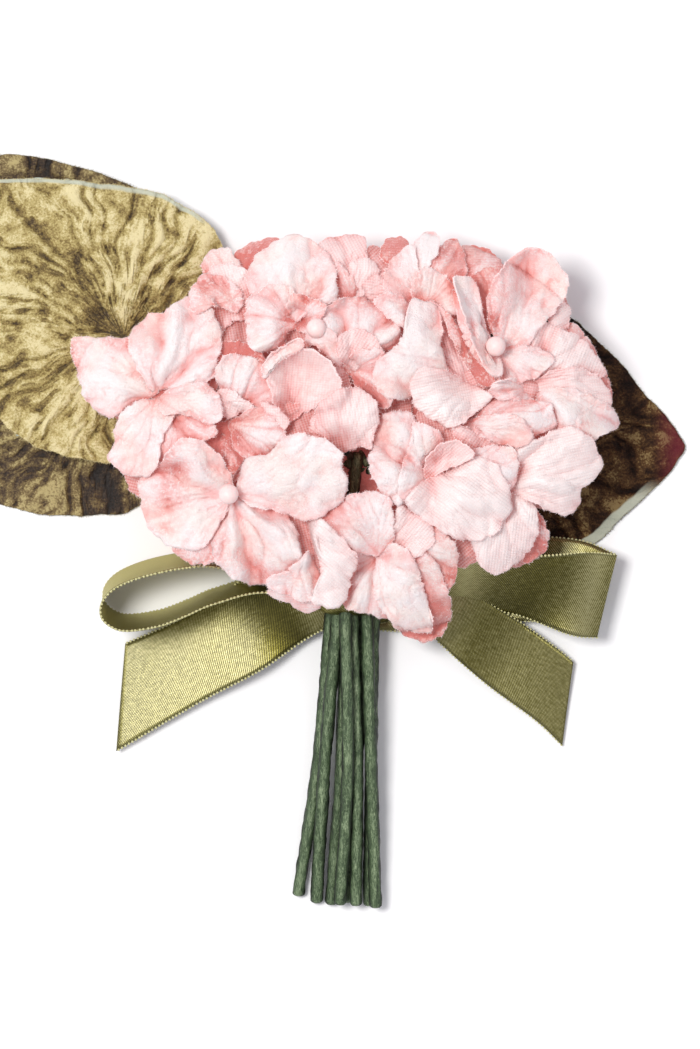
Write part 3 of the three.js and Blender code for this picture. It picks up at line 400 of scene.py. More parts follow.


# Each floret's petals spring from its throat `at`. Layers go from the deepest up; tone runs from near white
# (0) to coral (1), partly the cloth's own colour and partly painted shade on deep, folded and upright
# petals, and weave turns the woven back of the cloth up.
florets = dict(
    lowLeft=dict(at=(231, 495), petals=[
        petal(1, [(172, 548), (186, 540), (214, 536), (226, 546), (219, 559), (205, 564), (188, 562)], 0.6),
        petal(4, [(233, 500), (246, 502), (268, 506), (286, 514), (296, 532), (301, 552), (298, 566, -1),
                  (286, 577, -1), (268, 584, -2), (252, 584, -2), (234, 578, -1), (220, 566, -1),
                  (212, 548), (218, 522)], 0.2, fold=1.6, pleats=13,
              blushAndShade=[(226, 548, 14, 0.5), (244, 566, 14, 0.45), (262, 572, 10, 0.4)]),
        petal(5, [(234, 488), (228, 470, 1), (220, 456, 3), (206, 444, 4), (192, 438, 4), (178, 441, 3),
                  (168, 452, 2), (158, 466), (140, 480), (142, 505, -1), (148, 527, -1), (164, 542, -1),
                  (186, 550), (204, 547, 1), (216, 530), (228, 508)], 0.14, fold=1.3, pleats=8, bulge=-1.2,
              blushAndShade=[(178, 468, 20, 0.75), (168, 500, 14, 0.6), (165, 530, 10, 0.3)]),
        petal(9, [(238, 492), (240, 474), (247, 459), (258, 455), (268, 455), (280, 442), (291, 434),
                  (304, 434), (320, 438), (335, 445), (342, 456), (342, 467), (347, 480), (347, 491),
                  (340, 503), (328, 512), (314, 520), (299, 519), (284, 513), (262, 508), (246, 504)], 0.03,
              level=1.0, pleats=8, blushAndShade=[(334, 458, 10, 0.3), (300, 470, 10, 0.2)]),
    ]),
    farLeft=dict(at=(158, 396), petals=[
        petal(3, [(70, 343), (78, 337), (96, 338), (118, 338), (136, 340), (152, 356), (160, 385),
                  (150, 398), (134, 404), (118, 414), (108, 418), (94, 408), (84, 396), (78, 374)],
              0.14, fold=0.7,
              blushAndShade=[(72, 352, 10, 0.85), (76, 372, 7, 0.6), (112, 344, 12, 0.4), (90, 380, 9, 0.3)]),
        petal(4, [(152, 390), (140, 372), (130, 352), (130, 336), (138, 325), (150, 314), (165, 312),
                  (178, 301), (192, 298), (206, 303), (216, 318), (222, 338), (218, 358), (214, 376, 1),
                  (204, 383, 1), (190, 386), (170, 388)], 0.12, fold=1.7, pleats=14,
              blushAndShade=[(178, 318, 9, 0.5), (206, 310, 12, 0.3), (160, 340, 8, 0.35)]),
        petal(2, [(152, 428), (172, 418), (194, 414), (214, 424), (216, 434), (202, 442), (186, 452),
                  (168, 460), (154, 456), (148, 442)], 0.5, fold=0.6),
        petal(6, [(160, 398), (170, 402), (175, 411), (172, 421), (166, 432), (161, 446), (158, 464),
                  (150, 474), (136, 477), (121, 471), (108, 458, -1), (114, 446), (115, 430), (121, 414),
                  (136, 402)], 0.04, bulge=1.2, fold=0.6, blushAndShade=[(122, 440, 7, 0.35), (150, 472, 8, 0.25)]),
        petal(7, [(158, 402), (168, 391), (184, 385), (200, 382), (212, 388), (221, 402), (222, 415),
                  (214, 424), (204, 423), (192, 416), (176, 414), (164, 414)], 0.08, bulge=2.0, fold=0.4,
              blushAndShade=[(200, 421, 8, 0.6), (206, 388, 7, 0.4)]),
    ]),
    upLeft=dict(at=(296, 322), petals=[
        petal(4, [(298, 320), (276, 312), (258, 302), (248, 288), (248, 272), (254, 259), (266, 248),
                  (279, 240), (291, 235), (305, 237), (318, 245), (329, 256), (335, 267), (336, 282),
                  (337, 294), (330, 304), (316, 306)], 0.03, bulge=1.6, pleats=11,
              blushAndShade=[(318, 290, 14, 0.25)]),
        petal(6, [(298, 324), (287, 334), (284, 346), (274, 350), (260, 351), (250, 348), (247, 334),
                  (246, 314), (248, 300), (257, 295), (267, 287), (282, 284), (294, 292), (299, 306)], 0.16,
              bulge=1.2, fold=2.4, pleats=7,
              blushAndShade=[(283, 340, 9, 0.8), (288, 318, 8, 0.7), (272, 300, 8, 0.4)]),
        petal(7, [(290, 318), (288, 306), (291, 294, 2), (304, 296, 3), (317, 300, 3), (327, 307, 2),
                  (321, 318, 1), (318, 327), (309, 333), (298, 331)], 0.25, bulge=-1.2, fold=0.8,
              blushAndShade=[(308, 299, 8, 0.8), (322, 304, 6, 0.7), (300, 326, 6, 0.4)]),
    ]),
    leftEdge=dict(at=(232, 300), petals=[
        petal(0, [(230, 262), (244, 247), (262, 240), (280, 240), (280, 262), (262, 284), (240, 280)], 0.85,
              level=-3),
        petal(1, [(212, 300), (232, 296), (250, 300), (256, 328), (252, 352), (224, 354), (212, 332)], 0.95,
              weave=True, level=-4),
        petal(2, [(204, 276), (204, 258), (215, 250), (228, 249), (238, 262), (246, 276), (236, 288),
                  (216, 284)], 0.3, level=-2),
        petal(3, [(208, 276), (211, 268), (226, 264), (246, 270), (252, 288), (246, 304), (234, 300),
                  (222, 288)], 0.3, weave=True, level=-1.5),
        petal(4, [(190, 300), (193, 286), (203, 275), (217, 275), (231, 281), (241, 292), (243, 304),
                  (234, 312), (216, 306), (203, 312), (193, 312)], 0.3, blushAndShade=[(208, 290, 12, 0.6)]),
        petal(3, [(212, 304), (228, 308), (244, 304), (247, 318), (232, 322), (220, 332), (213, 320)], 0.6,
              weave=True, level=-2),
    ]),
    midLeft=dict(at=(228, 424), petals=[
        petal(2, [(212, 354), (222, 343), (240, 342), (258, 349), (266, 366), (244, 378), (220, 372)], 0.92,
              level=-1),
        petal(1, [(204, 436), (216, 424), (232, 420), (246, 440), (243, 460), (234, 474), (224, 464),
                  (214, 450)], 0.9, level=-1.5),
        petal(5, [(222, 392), (216, 376), (220, 360), (230, 355), (246, 356), (260, 362), (267, 374),
                  (271, 388), (278, 400), (270, 408), (254, 406), (238, 398)], 0.16, fold=1.3,
              blushAndShade=[(240, 364, 9, 0.25), (250, 392, 12, 0.35)]),
        petal(6, [(226, 418), (217, 410), (214, 398), (221, 390), (231, 390), (242, 398), (252, 406),
                  (243, 412)], 0.22, weave=True, bulge=1.0),
        petal(6, [(230, 424), (240, 415), (257, 407), (270, 410), (279, 419), (286, 430), (284, 440),
                  (274, 448), (266, 458), (254, 460), (242, 456), (234, 446)], 0.42, bulge=1.2,
              blushAndShade=[(246, 436, 12, 0.3)]),
        petal(6, [(262, 402), (272, 404), (281, 411), (288, 420), (285, 430), (276, 420), (266, 411)], 0.5,
              weave=True),
    ]),
    midCup=dict(at=(290, 410), petals=[
        petal(2, [(274, 402), (300, 404), (322, 400), (322, 418), (312, 434), (298, 442), (284, 438),
                  (276, 420)], 0.85, weave=True, level=-1.5),
        petal(7, [(284, 424), (277, 410), (272, 396), (268, 381, 1), (272, 366, 2), (284, 356, 3),
                  (298, 349, 4), (312, 350, 4), (326, 358, 4), (336, 371, 4), (341, 385, 3), (338, 397, 2),
                  (324, 403, 1), (304, 413)], 0.22, weave=True, bulge=-4.5, fold=0.4, ruffle=0.4,
              blushAndShade=[(286, 396, 14, 0.5), (300, 420, 14, 0.7)]),
        petal(8, [(266, 380), (262, 368, 1), (270, 355, 3), (284, 346, 4), (297, 339, 4), (305, 345, 4),
                  (298, 352, 3), (284, 358, 2), (274, 368, 1)], 0.08, level=0.5),
    ]),
    heart=dict(at=(346, 452), petals=[
        petal(4, [(320, 440), (312, 438), (310, 428), (312, 418), (320, 414), (328, 424), (328, 436)], 0.5,
              weave=True, level=-1),
        petal(8, [(342, 452), (330, 444), (318, 432), (315, 418), (318, 406), (329, 396), (342, 389),
                  (356, 388), (368, 393), (376, 403), (379, 414), (377, 427), (372, 440), (371, 449),
                  (358, 447)], 0.42, weave=True, bulge=1.8, fold=1.4, pleats=5,
              blushAndShade=[(345, 436, 12, 0.35), (330, 410, 10, 0.2)]),
    ]),
    topMid=dict(at=(352, 372), petals=[
        petal(5, [(352, 368), (336, 356), (326, 342), (320, 328), (322, 314), (332, 303), (346, 298),
                  (360, 297), (374, 303), (388, 309), (397, 319), (401, 331), (398, 343), (388, 350),
                  (372, 352)], 0.28, fold=1.2, blushAndShade=[(392, 318, 10, 0.7), (366, 300, 12, 0.4)]),
        petal(5, [(340, 366), (330, 358), (318, 348), (306, 340), (308, 332), (318, 327), (328, 328),
                  (338, 338), (341, 352)], 0.1),
        petal(6, [(352, 372), (341, 360), (336, 346), (343, 334), (356, 329), (370, 333), (380, 345),
                  (384, 354), (376, 364), (364, 370)], 0.4, weave=True, bulge=1.2, fold=0.4),
        petal(6, [(350, 376), (344, 364), (354, 353), (366, 350), (380, 350), (390, 360), (392, 386),
                  (392, 402), (382, 408), (370, 400), (358, 388)], 0.3, fold=1.6,
              blushAndShade=[(372, 395, 10, 0.5), (364, 384, 8, 0.4)]),
        petal(3, [(334, 352), (346, 372), (352, 392), (342, 400), (330, 386)], 0.55, weave=True),
    ]),
    top=dict(at=(352, 300), petals=[
        petal(2, [(318, 244), (338, 237), (362, 236), (367, 256), (364, 276), (346, 286), (330, 268)], 0.5,
              weave=True, level=-1),
        petal(1, [(364, 254), (376, 246), (389, 262), (388, 286), (374, 306), (360, 290)], 0.72,
              weave=True, level=-2),
        petal(3, [(352, 294), (347, 278), (350, 265), (360, 259), (374, 261), (378, 272), (370, 284),
                  (362, 298)], 0.3, weave=True, blushAndShade=[(354, 276, 8, 0.4)]),
        petal(3, [(334, 300), (332, 280), (336, 262), (346, 270), (356, 284), (358, 298), (346, 306)], 0.4,
              blushAndShade=[(338, 276, 8, 0.4)]),
        petal(1, [(380, 250), (390, 238), (402, 238), (410, 246), (402, 262), (386, 264)], 0.65,
              level=-1.5),
        petal(3, [(356, 302), (366, 282), (378, 276), (390, 286), (388, 304), (372, 310)], 0.6, weave=True,
              level=-1.5),
    ]),
    topRight=dict(at=(424, 306), petals=[
        petal(1, [(458, 250), (470, 246), (487, 249), (500, 261), (508, 276), (490, 290), (464, 282)], 0.62,
              level=-1),
        petal(3, [(428, 268), (432, 256), (441, 245), (452, 239), (459, 242), (464, 256), (466, 274),
                  (458, 290), (440, 296)], 0.5, bulge=1.0, blushAndShade=[(444, 252, 12, 0.6)]),
        petal(4, [(414, 300), (410, 272), (410, 252), (418, 239), (428, 231), (439, 238), (438, 252),
                  (430, 264), (426, 284)], 0.0, fold=1.3),
        petal(4, [(400, 312), (384, 304), (384, 286), (386, 270), (396, 256), (411, 245), (418, 266),
                  (416, 292)], 0.12, fold=1.2, blushAndShade=[(402, 284, 8, 0.35)]),
        petal(5, [(400, 326), (382, 312), (374, 300), (384, 294), (398, 295), (410, 306), (412, 320)],
              0.22),
        petal(5, [(412, 300), (414, 280), (424, 268), (438, 272), (450, 282), (460, 296), (462, 312),
                  (446, 314), (428, 306)], 0.12, fold=1.4, bulge=1.0),
    ]),
    bigRight=dict(at=(498, 352), petals=[
        petal(1, [(548, 322), (556, 306), (564, 296), (570, 312), (566, 330), (556, 338)], 0.5, weave=True,
              level=-1),
        petal(5, [(470, 280), (482, 270), (500, 267), (512, 276), (506, 300), (490, 310), (474, 300)], 0.7,
              level=-0.5),
        petal(6, [(500, 352), (491, 330), (487, 306, 1), (492, 284, 3), (503, 267, 6), (516, 254, 8),
                  (531, 248, 9), (546, 251, 9), (559, 264, 7), (568, 279, 5), (567, 292, 3), (560, 304, 2),
                  (550, 317, 1), (538, 330), (528, 346), (514, 354)], 0.36, bulge=-2.5, fold=0.9, pleats=5,
              ruffle=0.5, blushAndShade=[(522, 275, 10, 0.2), (492, 322, 14, 0.55)]),
        petal(6, [(489, 357), (506, 348), (522, 346), (540, 349), (554, 358), (544, 372), (528, 380),
                  (499, 382)], 0.16, fold=1.4),
        petal(7, [(502, 376), (490, 372, 1), (478, 354, 4), (468, 328, 6), (460, 302, 7), (453, 278, 7),
                  (463, 276, 6), (476, 284, 4), (481, 302, 2), (484, 322), (492, 342), (501, 360)], 0.12,
              level=1.0, bulge=0, ruffle=0.4, fold=0.3, blushAndShade=[(474, 330, 10, 0.2)]),
    ]),
    midRight=dict(at=(470, 384), petals=[
        petal(5, [(428, 300), (442, 308), (452, 326), (464, 346), (484, 370), (494, 384), (472, 388),
                  (450, 374), (438, 350), (432, 324)], 0.5, weave=True, level=-1.0, bulge=-1.5),
        petal(6, [(446, 312), (456, 324), (468, 342), (480, 360), (496, 382), (484, 386), (470, 372),
                  (458, 350), (448, 332)], 1.0, bulge=-1.0,
              blushAndShade=[(482, 372, 14, 0.5), (466, 356, 12, 0.4)]),
        petal(6, [(452, 292), (462, 296), (470, 314), (478, 336), (490, 356), (500, 376), (490, 374),
                  (474, 356), (462, 332)], 0.3, level=0.6, fold=1.6),
        petal(7, [(412, 396), (396, 400), (380, 392), (373, 376), (379, 360), (392, 350), (402, 338),
                  (406, 318), (412, 299), (424, 301), (438, 309), (442, 326), (441, 346), (447, 368),
                  (440, 382), (426, 392)], 0.0, level=0.8, bulge=1.8, fold=0.9,
              blushAndShade=[(394, 385, 10, 0.2)]),
        petal(8, [(492, 397), (478, 410), (465, 421), (452, 428), (436, 421), (422, 413), (412, 400),
                  (411, 384), (418, 371), (434, 368), (452, 374), (470, 384)], 0.06, weave=True, bulge=1.6,
              fold=0.9, pleats=6, blushAndShade=[(440, 374, 10, 0.35), (474, 386, 8, 0.3)]),
    ]),
    right=dict(at=(530, 386), petals=[
        petal(0, [(560, 330), (572, 322), (586, 337), (596, 352), (590, 364), (572, 352)], 0.5, level=-2),
        petal(1, [(586, 366), (596, 356), (604, 370), (611, 388), (610, 402), (598, 398)], 0.6, level=-2),
        petal(3, [(530, 372), (530, 345), (540, 322), (556, 328), (574, 334), (588, 345), (598, 360),
                  (606, 374), (592, 380), (568, 374)], 0.3, weave=True, fold=2.2, pleats=10, level=-0.5),
        petal(4, [(530, 388), (542, 376), (556, 370), (574, 368), (592, 373), (606, 386), (611, 400),
                  (606, 412), (590, 404), (566, 398), (544, 398)], 0.25, weave=True, fold=1.6,
              blushAndShade=[(560, 384, 16, 0.35)]),
        petal(5, [(536, 398), (548, 388), (564, 388), (584, 393), (602, 402), (614, 412), (618, 422),
                  (612, 431), (598, 437), (584, 440), (568, 434), (556, 428), (546, 412)], 0.08, fold=2.4,
              ruffle=1.4, blushAndShade=[(584, 424, 10, 0.35)]),
        petal(7, [(488, 393), (494, 384), (508, 379), (524, 379), (538, 386), (534, 397), (516, 400),
                  (498, 399)], 0.16, fold=1.6),
    ]),
    rightInner=dict(at=(470, 424), petals=[
        petal(6, [(476, 418), (492, 402), (512, 398), (532, 400), (548, 403), (553, 412), (557, 424),
                  (546, 431), (532, 436), (516, 432), (496, 426)], 0.42),
        petal(7, [(452, 429), (468, 420), (486, 416), (504, 414), (520, 417), (528, 428), (534, 438),
                  (522, 446), (504, 445), (484, 438), (468, 433)], 0.16, bulge=1.0, fold=0.8),
    ]),
    openRose=dict(at=(432, 476), petals=[
        petal(5, [(424, 430), (416, 420), (420, 410), (436, 418), (452, 426), (466, 436), (474, 448),
                  (462, 456), (444, 450), (430, 442)], 0.72, weave=True, level=-1.5),
        petal(5, [(452, 426), (470, 428), (490, 433), (502, 441), (500, 450), (486, 456), (468, 456),
                  (458, 444)], 0.75, weave=True, level=-1.5),
        petal(6, [(424, 476), (410, 488), (402, 504), (390, 502), (380, 490), (371, 474), (369, 458),
                  (374, 444), (372, 428), (384, 415), (400, 411), (414, 417), (418, 434), (416, 456)], 0.16,
              fold=1.6, pleats=6, bulge=1.2, blushAndShade=[(402, 462, 7, 0.55), (384, 450, 10, 0.25)]),
        petal(7, [(470, 478), (466, 460), (478, 448), (496, 446), (514, 450), (518, 464), (516, 479),
                  (508, 490), (490, 486)], 0.2, fold=0.8),
        petal(9, [(426, 480), (440, 474), (458, 466), (480, 457), (493, 463), (504, 476), (510, 492),
                  (511, 509), (502, 523), (495, 533), (480, 540), (462, 540), (448, 535), (434, 526),
                  (420, 517), (410, 509), (406, 498), (414, 489)], 0.06, weave=True, level=0.6, bulge=3.2,
              pleats=7, ruffle=0.6,
              blushAndShade=[(432, 484, 12, 0.6), (416, 500, 7, 0.4), (500, 522, 9, 0.45), (462, 536, 10, 0.35)]),
        petal(8, [(424, 480), (412, 494), (402, 500), (398, 488), (401, 470), (407, 452), (412, 436),
                  (414, 424, 1), (428, 425, 2), (440, 434, 2), (443, 443, 1), (432, 452), (425, 464)],
              0.1, bulge=1.4, fold=0.8, blushAndShade=[(404, 462, 6, 0.4)]),
        petal(9, [(426, 478), (424, 466), (429, 455, 1), (441, 444, 3), (455, 441, 3), (468, 446, 3),
                  (473, 455, 2), (464, 463, 1), (448, 468), (437, 475)], 0.3, weave=True, level=1.2,
              bulge=-1.2, fold=0.3, ruffle=0.3,
              blushAndShade=[(432, 458, 7, 0.7), (430, 476, 7, 0.8), (450, 466, 6, 0.3)]),
    ]),
    lowRight=dict(at=(508, 488), petals=[
        petal(0, [(452, 538), (468, 534), (480, 556), (466, 566), (454, 564)], 0.95, weave=True, level=-4),
        petal(1, [(528, 500), (542, 518), (549, 535), (546, 549), (537, 558), (524, 563), (512, 552),
                  (520, 526)], 0.85, level=-3),
        petal(5, [(472, 536), (490, 524), (504, 508), (512, 492), (526, 495), (534, 506), (538, 520),
                  (537, 535), (530, 549), (520, 560), (510, 568), (498, 574), (488, 572), (478, 560)], 0.06,
              weave=True, fold=0.9, bulge=1.4, blushAndShade=[(500, 552, 10, 0.2)]),
        petal(6, [(510, 490), (516, 472), (514, 456), (522, 444), (536, 440), (551, 432), (566, 427),
                  (580, 430), (590, 438), (597, 450), (602, 462), (600, 472), (590, 482), (580, 491),
                  (580, 502), (574, 511), (562, 515), (549, 510), (534, 503), (522, 497)], 0.03, weave=True,
              level=0.5, bulge=1.8, fold=1.1, pleats=10, ruffle=0.6, blushAndShade=[(522, 468, 10, 0.35)]),
    ]),
    bottom=dict(at=(378, 556), petals=[
        petal(3, [(400, 530), (420, 520), (434, 524), (447, 535), (456, 546), (458, 562), (455, 578),
                  (449, 590), (438, 580), (424, 560)], 0.45, blushAndShade=[(450, 575, 8, 0.4)]),
        petal(4, [(346, 558), (360, 548), (384, 546), (398, 570), (396, 606), (386, 618), (366, 613),
                  (346, 608), (344, 590), (350, 574)], 0.16, level=-2.0, bulge=-1.5),
        petal(4, [(404, 556), (424, 552), (436, 563), (445, 583), (451, 605), (449, 621), (442, 634),
                  (430, 641), (416, 640), (400, 631), (392, 618)], 0.55, blushAndShade=[(436, 612, 12, 0.4)]),
        petal(5, [(372, 548), (392, 520), (400, 506), (413, 511), (426, 520), (434, 530), (434, 541),
                  (426, 551), (413, 558), (394, 552)], 0.32, weave=True, bulge=1.2),
        petal(6, [(370, 556), (344, 544), (324, 530), (316, 520), (334, 508), (348, 496), (365, 492),
                  (381, 493), (391, 501), (393, 516), (394, 532), (391, 543), (382, 552)], 0.18, bulge=1.2,
              fold=0.7, blushAndShade=[(330, 522, 12, 0.4), (386, 500, 9, 0.3), (388, 540, 8, 0.2)]),
        petal(7, [(380, 552), (393, 543), (405, 549), (415, 562), (422, 583), (428, 605), (432, 622),
                  (430, 633), (414, 631), (398, 625), (386, 615), (376, 598), (374, 574)], 0.0, bulge=2.4,
              fold=0.6, pleats=6, blushAndShade=[(410, 628, 10, 0.25)]),
    ]),
    bottomLeft=dict(at=(300, 520), petals=[
        petal(2, [(284, 512), (302, 518), (314, 532), (320, 552), (326, 574), (318, 590), (304, 580),
                  (296, 556), (290, 534)], 0.9, weave=True, level=-2),
        petal(3, [(268, 590), (290, 584), (316, 588), (322, 603), (306, 613), (288, 602), (274, 598)], 0.04,
              level=-2),
        petal(4, [(268, 588), (268, 578), (284, 572), (300, 560), (308, 552), (316, 566), (322, 584),
                  (318, 598), (304, 602), (286, 594)], 0.2, fold=1.8, ruffle=1.2, level=-1,
              blushAndShade=[(300, 580, 10, 0.35)]),
        petal(8, [(308, 516), (320, 519), (334, 530), (348, 545), (358, 562), (352, 574), (348, 590),
                  (346, 601), (334, 608), (320, 606), (311, 598), (317, 584), (321, 570), (316, 550),
                  (310, 534)], 0.04, weave=True, bulge=1.6, fold=0.6, blushAndShade=[(316, 540, 7, 0.4)]),
    ]),
)

# Deeper petals that close the head below the ones that show, drawn by chance within the dome; their deep
# coral tone is painted shade.
# Chinks are places on the picture that need a petal of their own; the hollow is kept clear.
underLayer = dict(
    chinks=[(397, 404), (237, 464), (303, 335)],
    chinkReach=17,
    chinkLevel=-5.0,
    chinkTone=0.8,
    count=46,
    out=0.84,
    level=(-9.0, -4.5),
    reach=(24, 36),
    tone=(0.6, 0.95),
    clear=34,
    shelter=0.68,
    tuckSteps=16,
    tuckShare=0.12,
)

# The low petals round the underside, but none where the bow lies, from `open` on.
skirt = dict(open=0.7, count=14, points=10, at=(0.5, 0.86), level=(-9.0, -6.0), width=30, curl=2.0,
             tone=0.5)


def sheltered(x, y):
    # whether a point of the picture lies under the petals that show
    if domeShare(x, y) < underLayer["shelter"]:
        return True
    for floret in florets.values():
        for leaf in floret["petals"]:
            within = False
            rim = [point[:2] for point in leaf["rim"]]
            for (ax, ay), (bx, by) in zip(rim, rim[1:] + rim[:1]):
                if (ay > y) != (by > y) and x < ax + (bx - ax) * (y - ay) / (by - ay):
                    within = not within
            if within:
                return True
    return False


def tuckIn(rim, x, y):
    # draws the points that would stick out of the head's outline back towards x, y
    tucked = []
    for point in rim:
        px, py = point[:2]
        for _ in range(underLayer["tuckSteps"]):
            if sheltered(px, py):
                break
            px += (x - px) * underLayer["tuckShare"]
            py += (y - py) * underLayer["tuckShare"]
        tucked.append((px, py) + tuple(point[2:]))
    return tucked


def chanceRim(x, y, reach, rand):
    # an uneven round rim of eight points
    turn = rand.uniform(0, math.tau)
    stretch = rand.uniform(0.75, 1.0)
    return [(x + reach * rand.uniform(0.88, 1.1) * math.cos(turn + k * math.tau / 8),
             y + reach * stretch * rand.uniform(0.88, 1.1) * math.sin(turn + k * math.tau / 8))
            for k in range(8)]


def underFloret(rand):
    cx, cy = dome["middle"]
    petals = [petal(-1, chanceRim(x, y, underLayer["chinkReach"], rand), underLayer["chinkTone"],
                    weave=True, level=underLayer["chinkLevel"])
              for x, y in underLayer["chinks"]]
    while len(petals) < underLayer["count"]:
        out, turn = math.sqrt(rand.random()) * underLayer["out"], rand.uniform(0, math.tau)
        x = cx + dome["reach"][0] * out * math.cos(turn)
        y = cy + dome["reach"][1] * out * math.sin(turn)
        reach = rand.uniform(*underLayer["reach"])
        away = math.hypot(x - dome["hollow"][0], y - dome["hollow"][1])
        if away > underLayer["clear"] + reach:
            rim = tuckIn(chanceRim(x, y, reach, rand), cx, cy)
            petals.append(petal(-2, rim, rand.uniform(*underLayer["tone"]),
                                weave=rand.random() < 0.5, level=rand.uniform(*underLayer["level"])))
    return dict(at=(cx, cy), petals=petals)


def skirtFloret(rand):
    cx, cy = dome["middle"]
    inner, outer = skirt["at"]
    petals = []
    for number in range(skirt["count"]):
        turn = number * math.tau / skirt["count"]
        rim = []
        for k in range(skirt["points"]):
            angle = k * math.tau / skirt["points"]
            out = (inner + outer) / 2 + (outer - inner) / 2 * math.cos(angle)
            side = skirt["width"] * math.sin(angle) * rand.uniform(0.9, 1.1)
            rim.append((cx + dome["reach"][0] * out * math.cos(turn) - side * math.sin(turn),
                        cy + dome["reach"][1] * out * math.sin(turn) + side * math.cos(turn),
                        -skirt["curl"] * math.cos(angle)))
        level = rand.uniform(*skirt["level"])
        if math.sin(turn) < skirt["open"]:
            petals.append(petal(-3, tuckIn(rim, cx, cy), skirt["tone"], weave=number % 3 == 1, level=level))
    return dict(at=(cx, cy), petals=petals)


discGrid = gridShape(petalStyle["cells"], petalStyle["cells"])


def grooved(values, width):
    # 1 on the flat, falling to 0 along the lines where the noise changes sign
    return 1 - np.exp(-np.abs(values) / width)


def foldPlaces(fan, far, bend, seed, byFan, byBend, byFar):
    # where in the noise each place's grooves are read, so that they run outwards from the throat
    return [(f * byFan + byBend * w, d * byFar, seed) for f, d, w in zip(fan, far, bend)]


def petalSheet(at, form, rand):
    # the petal's middle sheet: places in millimetres, flat places, and fields for its material
    step = picture["step"]
    rim = closedCurve([(*spot, 0)[:3] for spot in form["rim"]])
    middle = rim.mean(0)
    around = np.arctan2(middle[1] - rim[:, 1], rim[:, 0] - middle[0])
    order = np.argsort(around)
    out = np.hypot(rim[:, 0] - middle[0], rim[:, 1] - middle[1])
    x, y = discGrid.T
    reach, angle = roundGrid(x, y)
    radius = np.interp(angle, around[order], out[order], period=math.tau) * step
    over = np.interp(angle, around[order], rim[order, 2], period=math.tau)
    turn = [rand.uniform(0, math.tau) for _ in range(8)]
    size = out.mean() * step
    lobes = int(size * petalStyle["lobes"]) + 2
    radius = radius + petalStyle["waver"] * (0.5 * np.sin(lobes * angle + turn[0])
                                             + 0.25 * np.sin((lobes * 2 + 1) * angle + turn[1]))
    border = [(math.cos(a) * size, math.sin(a) * size, turn[2]) for a in angle]
    radius = radius + petalStyle["fray"] * 1.6 * lumps(border, 0.8, turn[3])
    px = middle[0] + radius / step * reach * np.cos(angle)
    py = middle[1] - radius / step * reach * np.sin(angle)
    fromRoot = np.stack([px - at[0], at[1] - py], 1) * step
    far = np.hypot(fromRoot[:, 0], fromRoot[:, 1])
    fan = np.arctan2(fromRoot[:, 1], fromRoot[:, 0])
    heading = math.atan2(at[1] - middle[1], middle[0] - at[0])
    fan = (fan - heading + math.pi) % math.tau - math.pi
    edge = (1 - reach) * radius
    small = min(size / petalStyle["fullSize"], 1.0)
    free = smoothStep(*petalStyle["free"], far) * small
    height = domeHeight(px, py) + form["level"] + over * reach ** 2
    height = height + form["bulge"] * (1 - reach ** 2) * 0.8
    height = height - petalStyle["throatDepth"] * np.exp(-(far / petalStyle["throatReach"]) ** 2)
    seed = rand.uniform(0, 90)
    ring = np.stack([np.cos(angle) * 1.5, np.sin(angle) * 1.5, np.full(len(px), seed)], 1)
    ruffle = form["ruffle"] * (petalStyle["ruffle"] * 1.9 * lumps(ring, 1.0, seed) * reach ** 3
                               + petalStyle["frill"] * 1.9 * lumps(ring, 0.34, seed + 2) * reach ** 6)
    spots = [(p, q, seed) for p, q in zip(px * step, py * step)]
    bend = lumps(spots, petalStyle["bendPeriod"], seed)
    pleat = np.sin(fan * form["pleats"] / 2 + 1.2 * bend + turn[7])
    pleat = pleat + 0.5 * np.sin(fan * form["pleats"] * 1.15 + 2 * bend + turn[3]) * smoothStep(3, 9, far)
    coarse, tight = petalStyle["crumplePeriods"]
    crumple = lumps(spots, coarse, seed + 3) + 0.5 * lumps(spots, tight, seed + 9)
    broad = foldPlaces(fan, far, bend, seed, *petalStyle["broadFolds"])
    fine = foldPlaces(fan, far, bend, seed, *petalStyle["fineFolds"])
    groove = grooved(lumps(broad, 1.0, seed + 5), petalStyle["grooveWidth"])
    fineGroove = grooved(lumps(fine, 1.0, seed + 11), petalStyle["fineWidth"])
    byFan, byFar, period = petalStyle["crushFolds"]
    crush = lumps([(f * byFan, d * byFar, seed) for f, d in zip(fan, far)], period, seed + 17)
    relief = form["fold"] * petalStyle["pleat"] * 0.7 * pleat + petalStyle["crumple"] * crumple
    relief = relief + petalStyle["groove"] * (groove - 0.7) * (0.4 + 0.3 * form["fold"])
    relief = relief + petalStyle["fineGroove"] * (fineGroove - 0.6) * smoothStep(2.0, 6.0, far)
    height = height + ruffle * small + relief * free + petalStyle["crush"] * crush * free
    height = height - petalStyle["roll"] * np.exp(-edge / petalStyle["rollReach"]) * small
    flatX, flatY = onTable(px, py, height)
    # how deep a place lies in the petal's folds, for the painted shade in its colour
    hollow = np.clip(1.0 - 0.6 * groove - 0.45 * fineGroove - 0.4 * crumple - 0.4 * pleat
                     - 0.3 * crush, -1, 1)
    tone = np.full(len(px), float(form["tone"]))
    # spots of deeper tone: partly the cloth's own dye, partly painted shade
    for bx, by, spread, strength in form["blushAndShade"]:
        tone += strength * np.exp(-((px - bx) ** 2 + (py - by) ** 2) / spread ** 2)
    spin = rand.uniform(-0.5, 0.5) + heading
    flat = np.stack([fromRoot[:, 0] * math.cos(spin) + fromRoot[:, 1] * math.sin(spin),
                     fromRoot[:, 1] * math.cos(spin) - fromRoot[:, 0] * math.sin(spin)], 1)
    return dict(places=np.stack([flatX, flatY, height], 1), flat=flat, hollow=hollow,
                form=form, far=far, tone=tone, edge=edge,
                sweep=np.stack([fan * 9, far, np.full(len(far), seed)], 1))


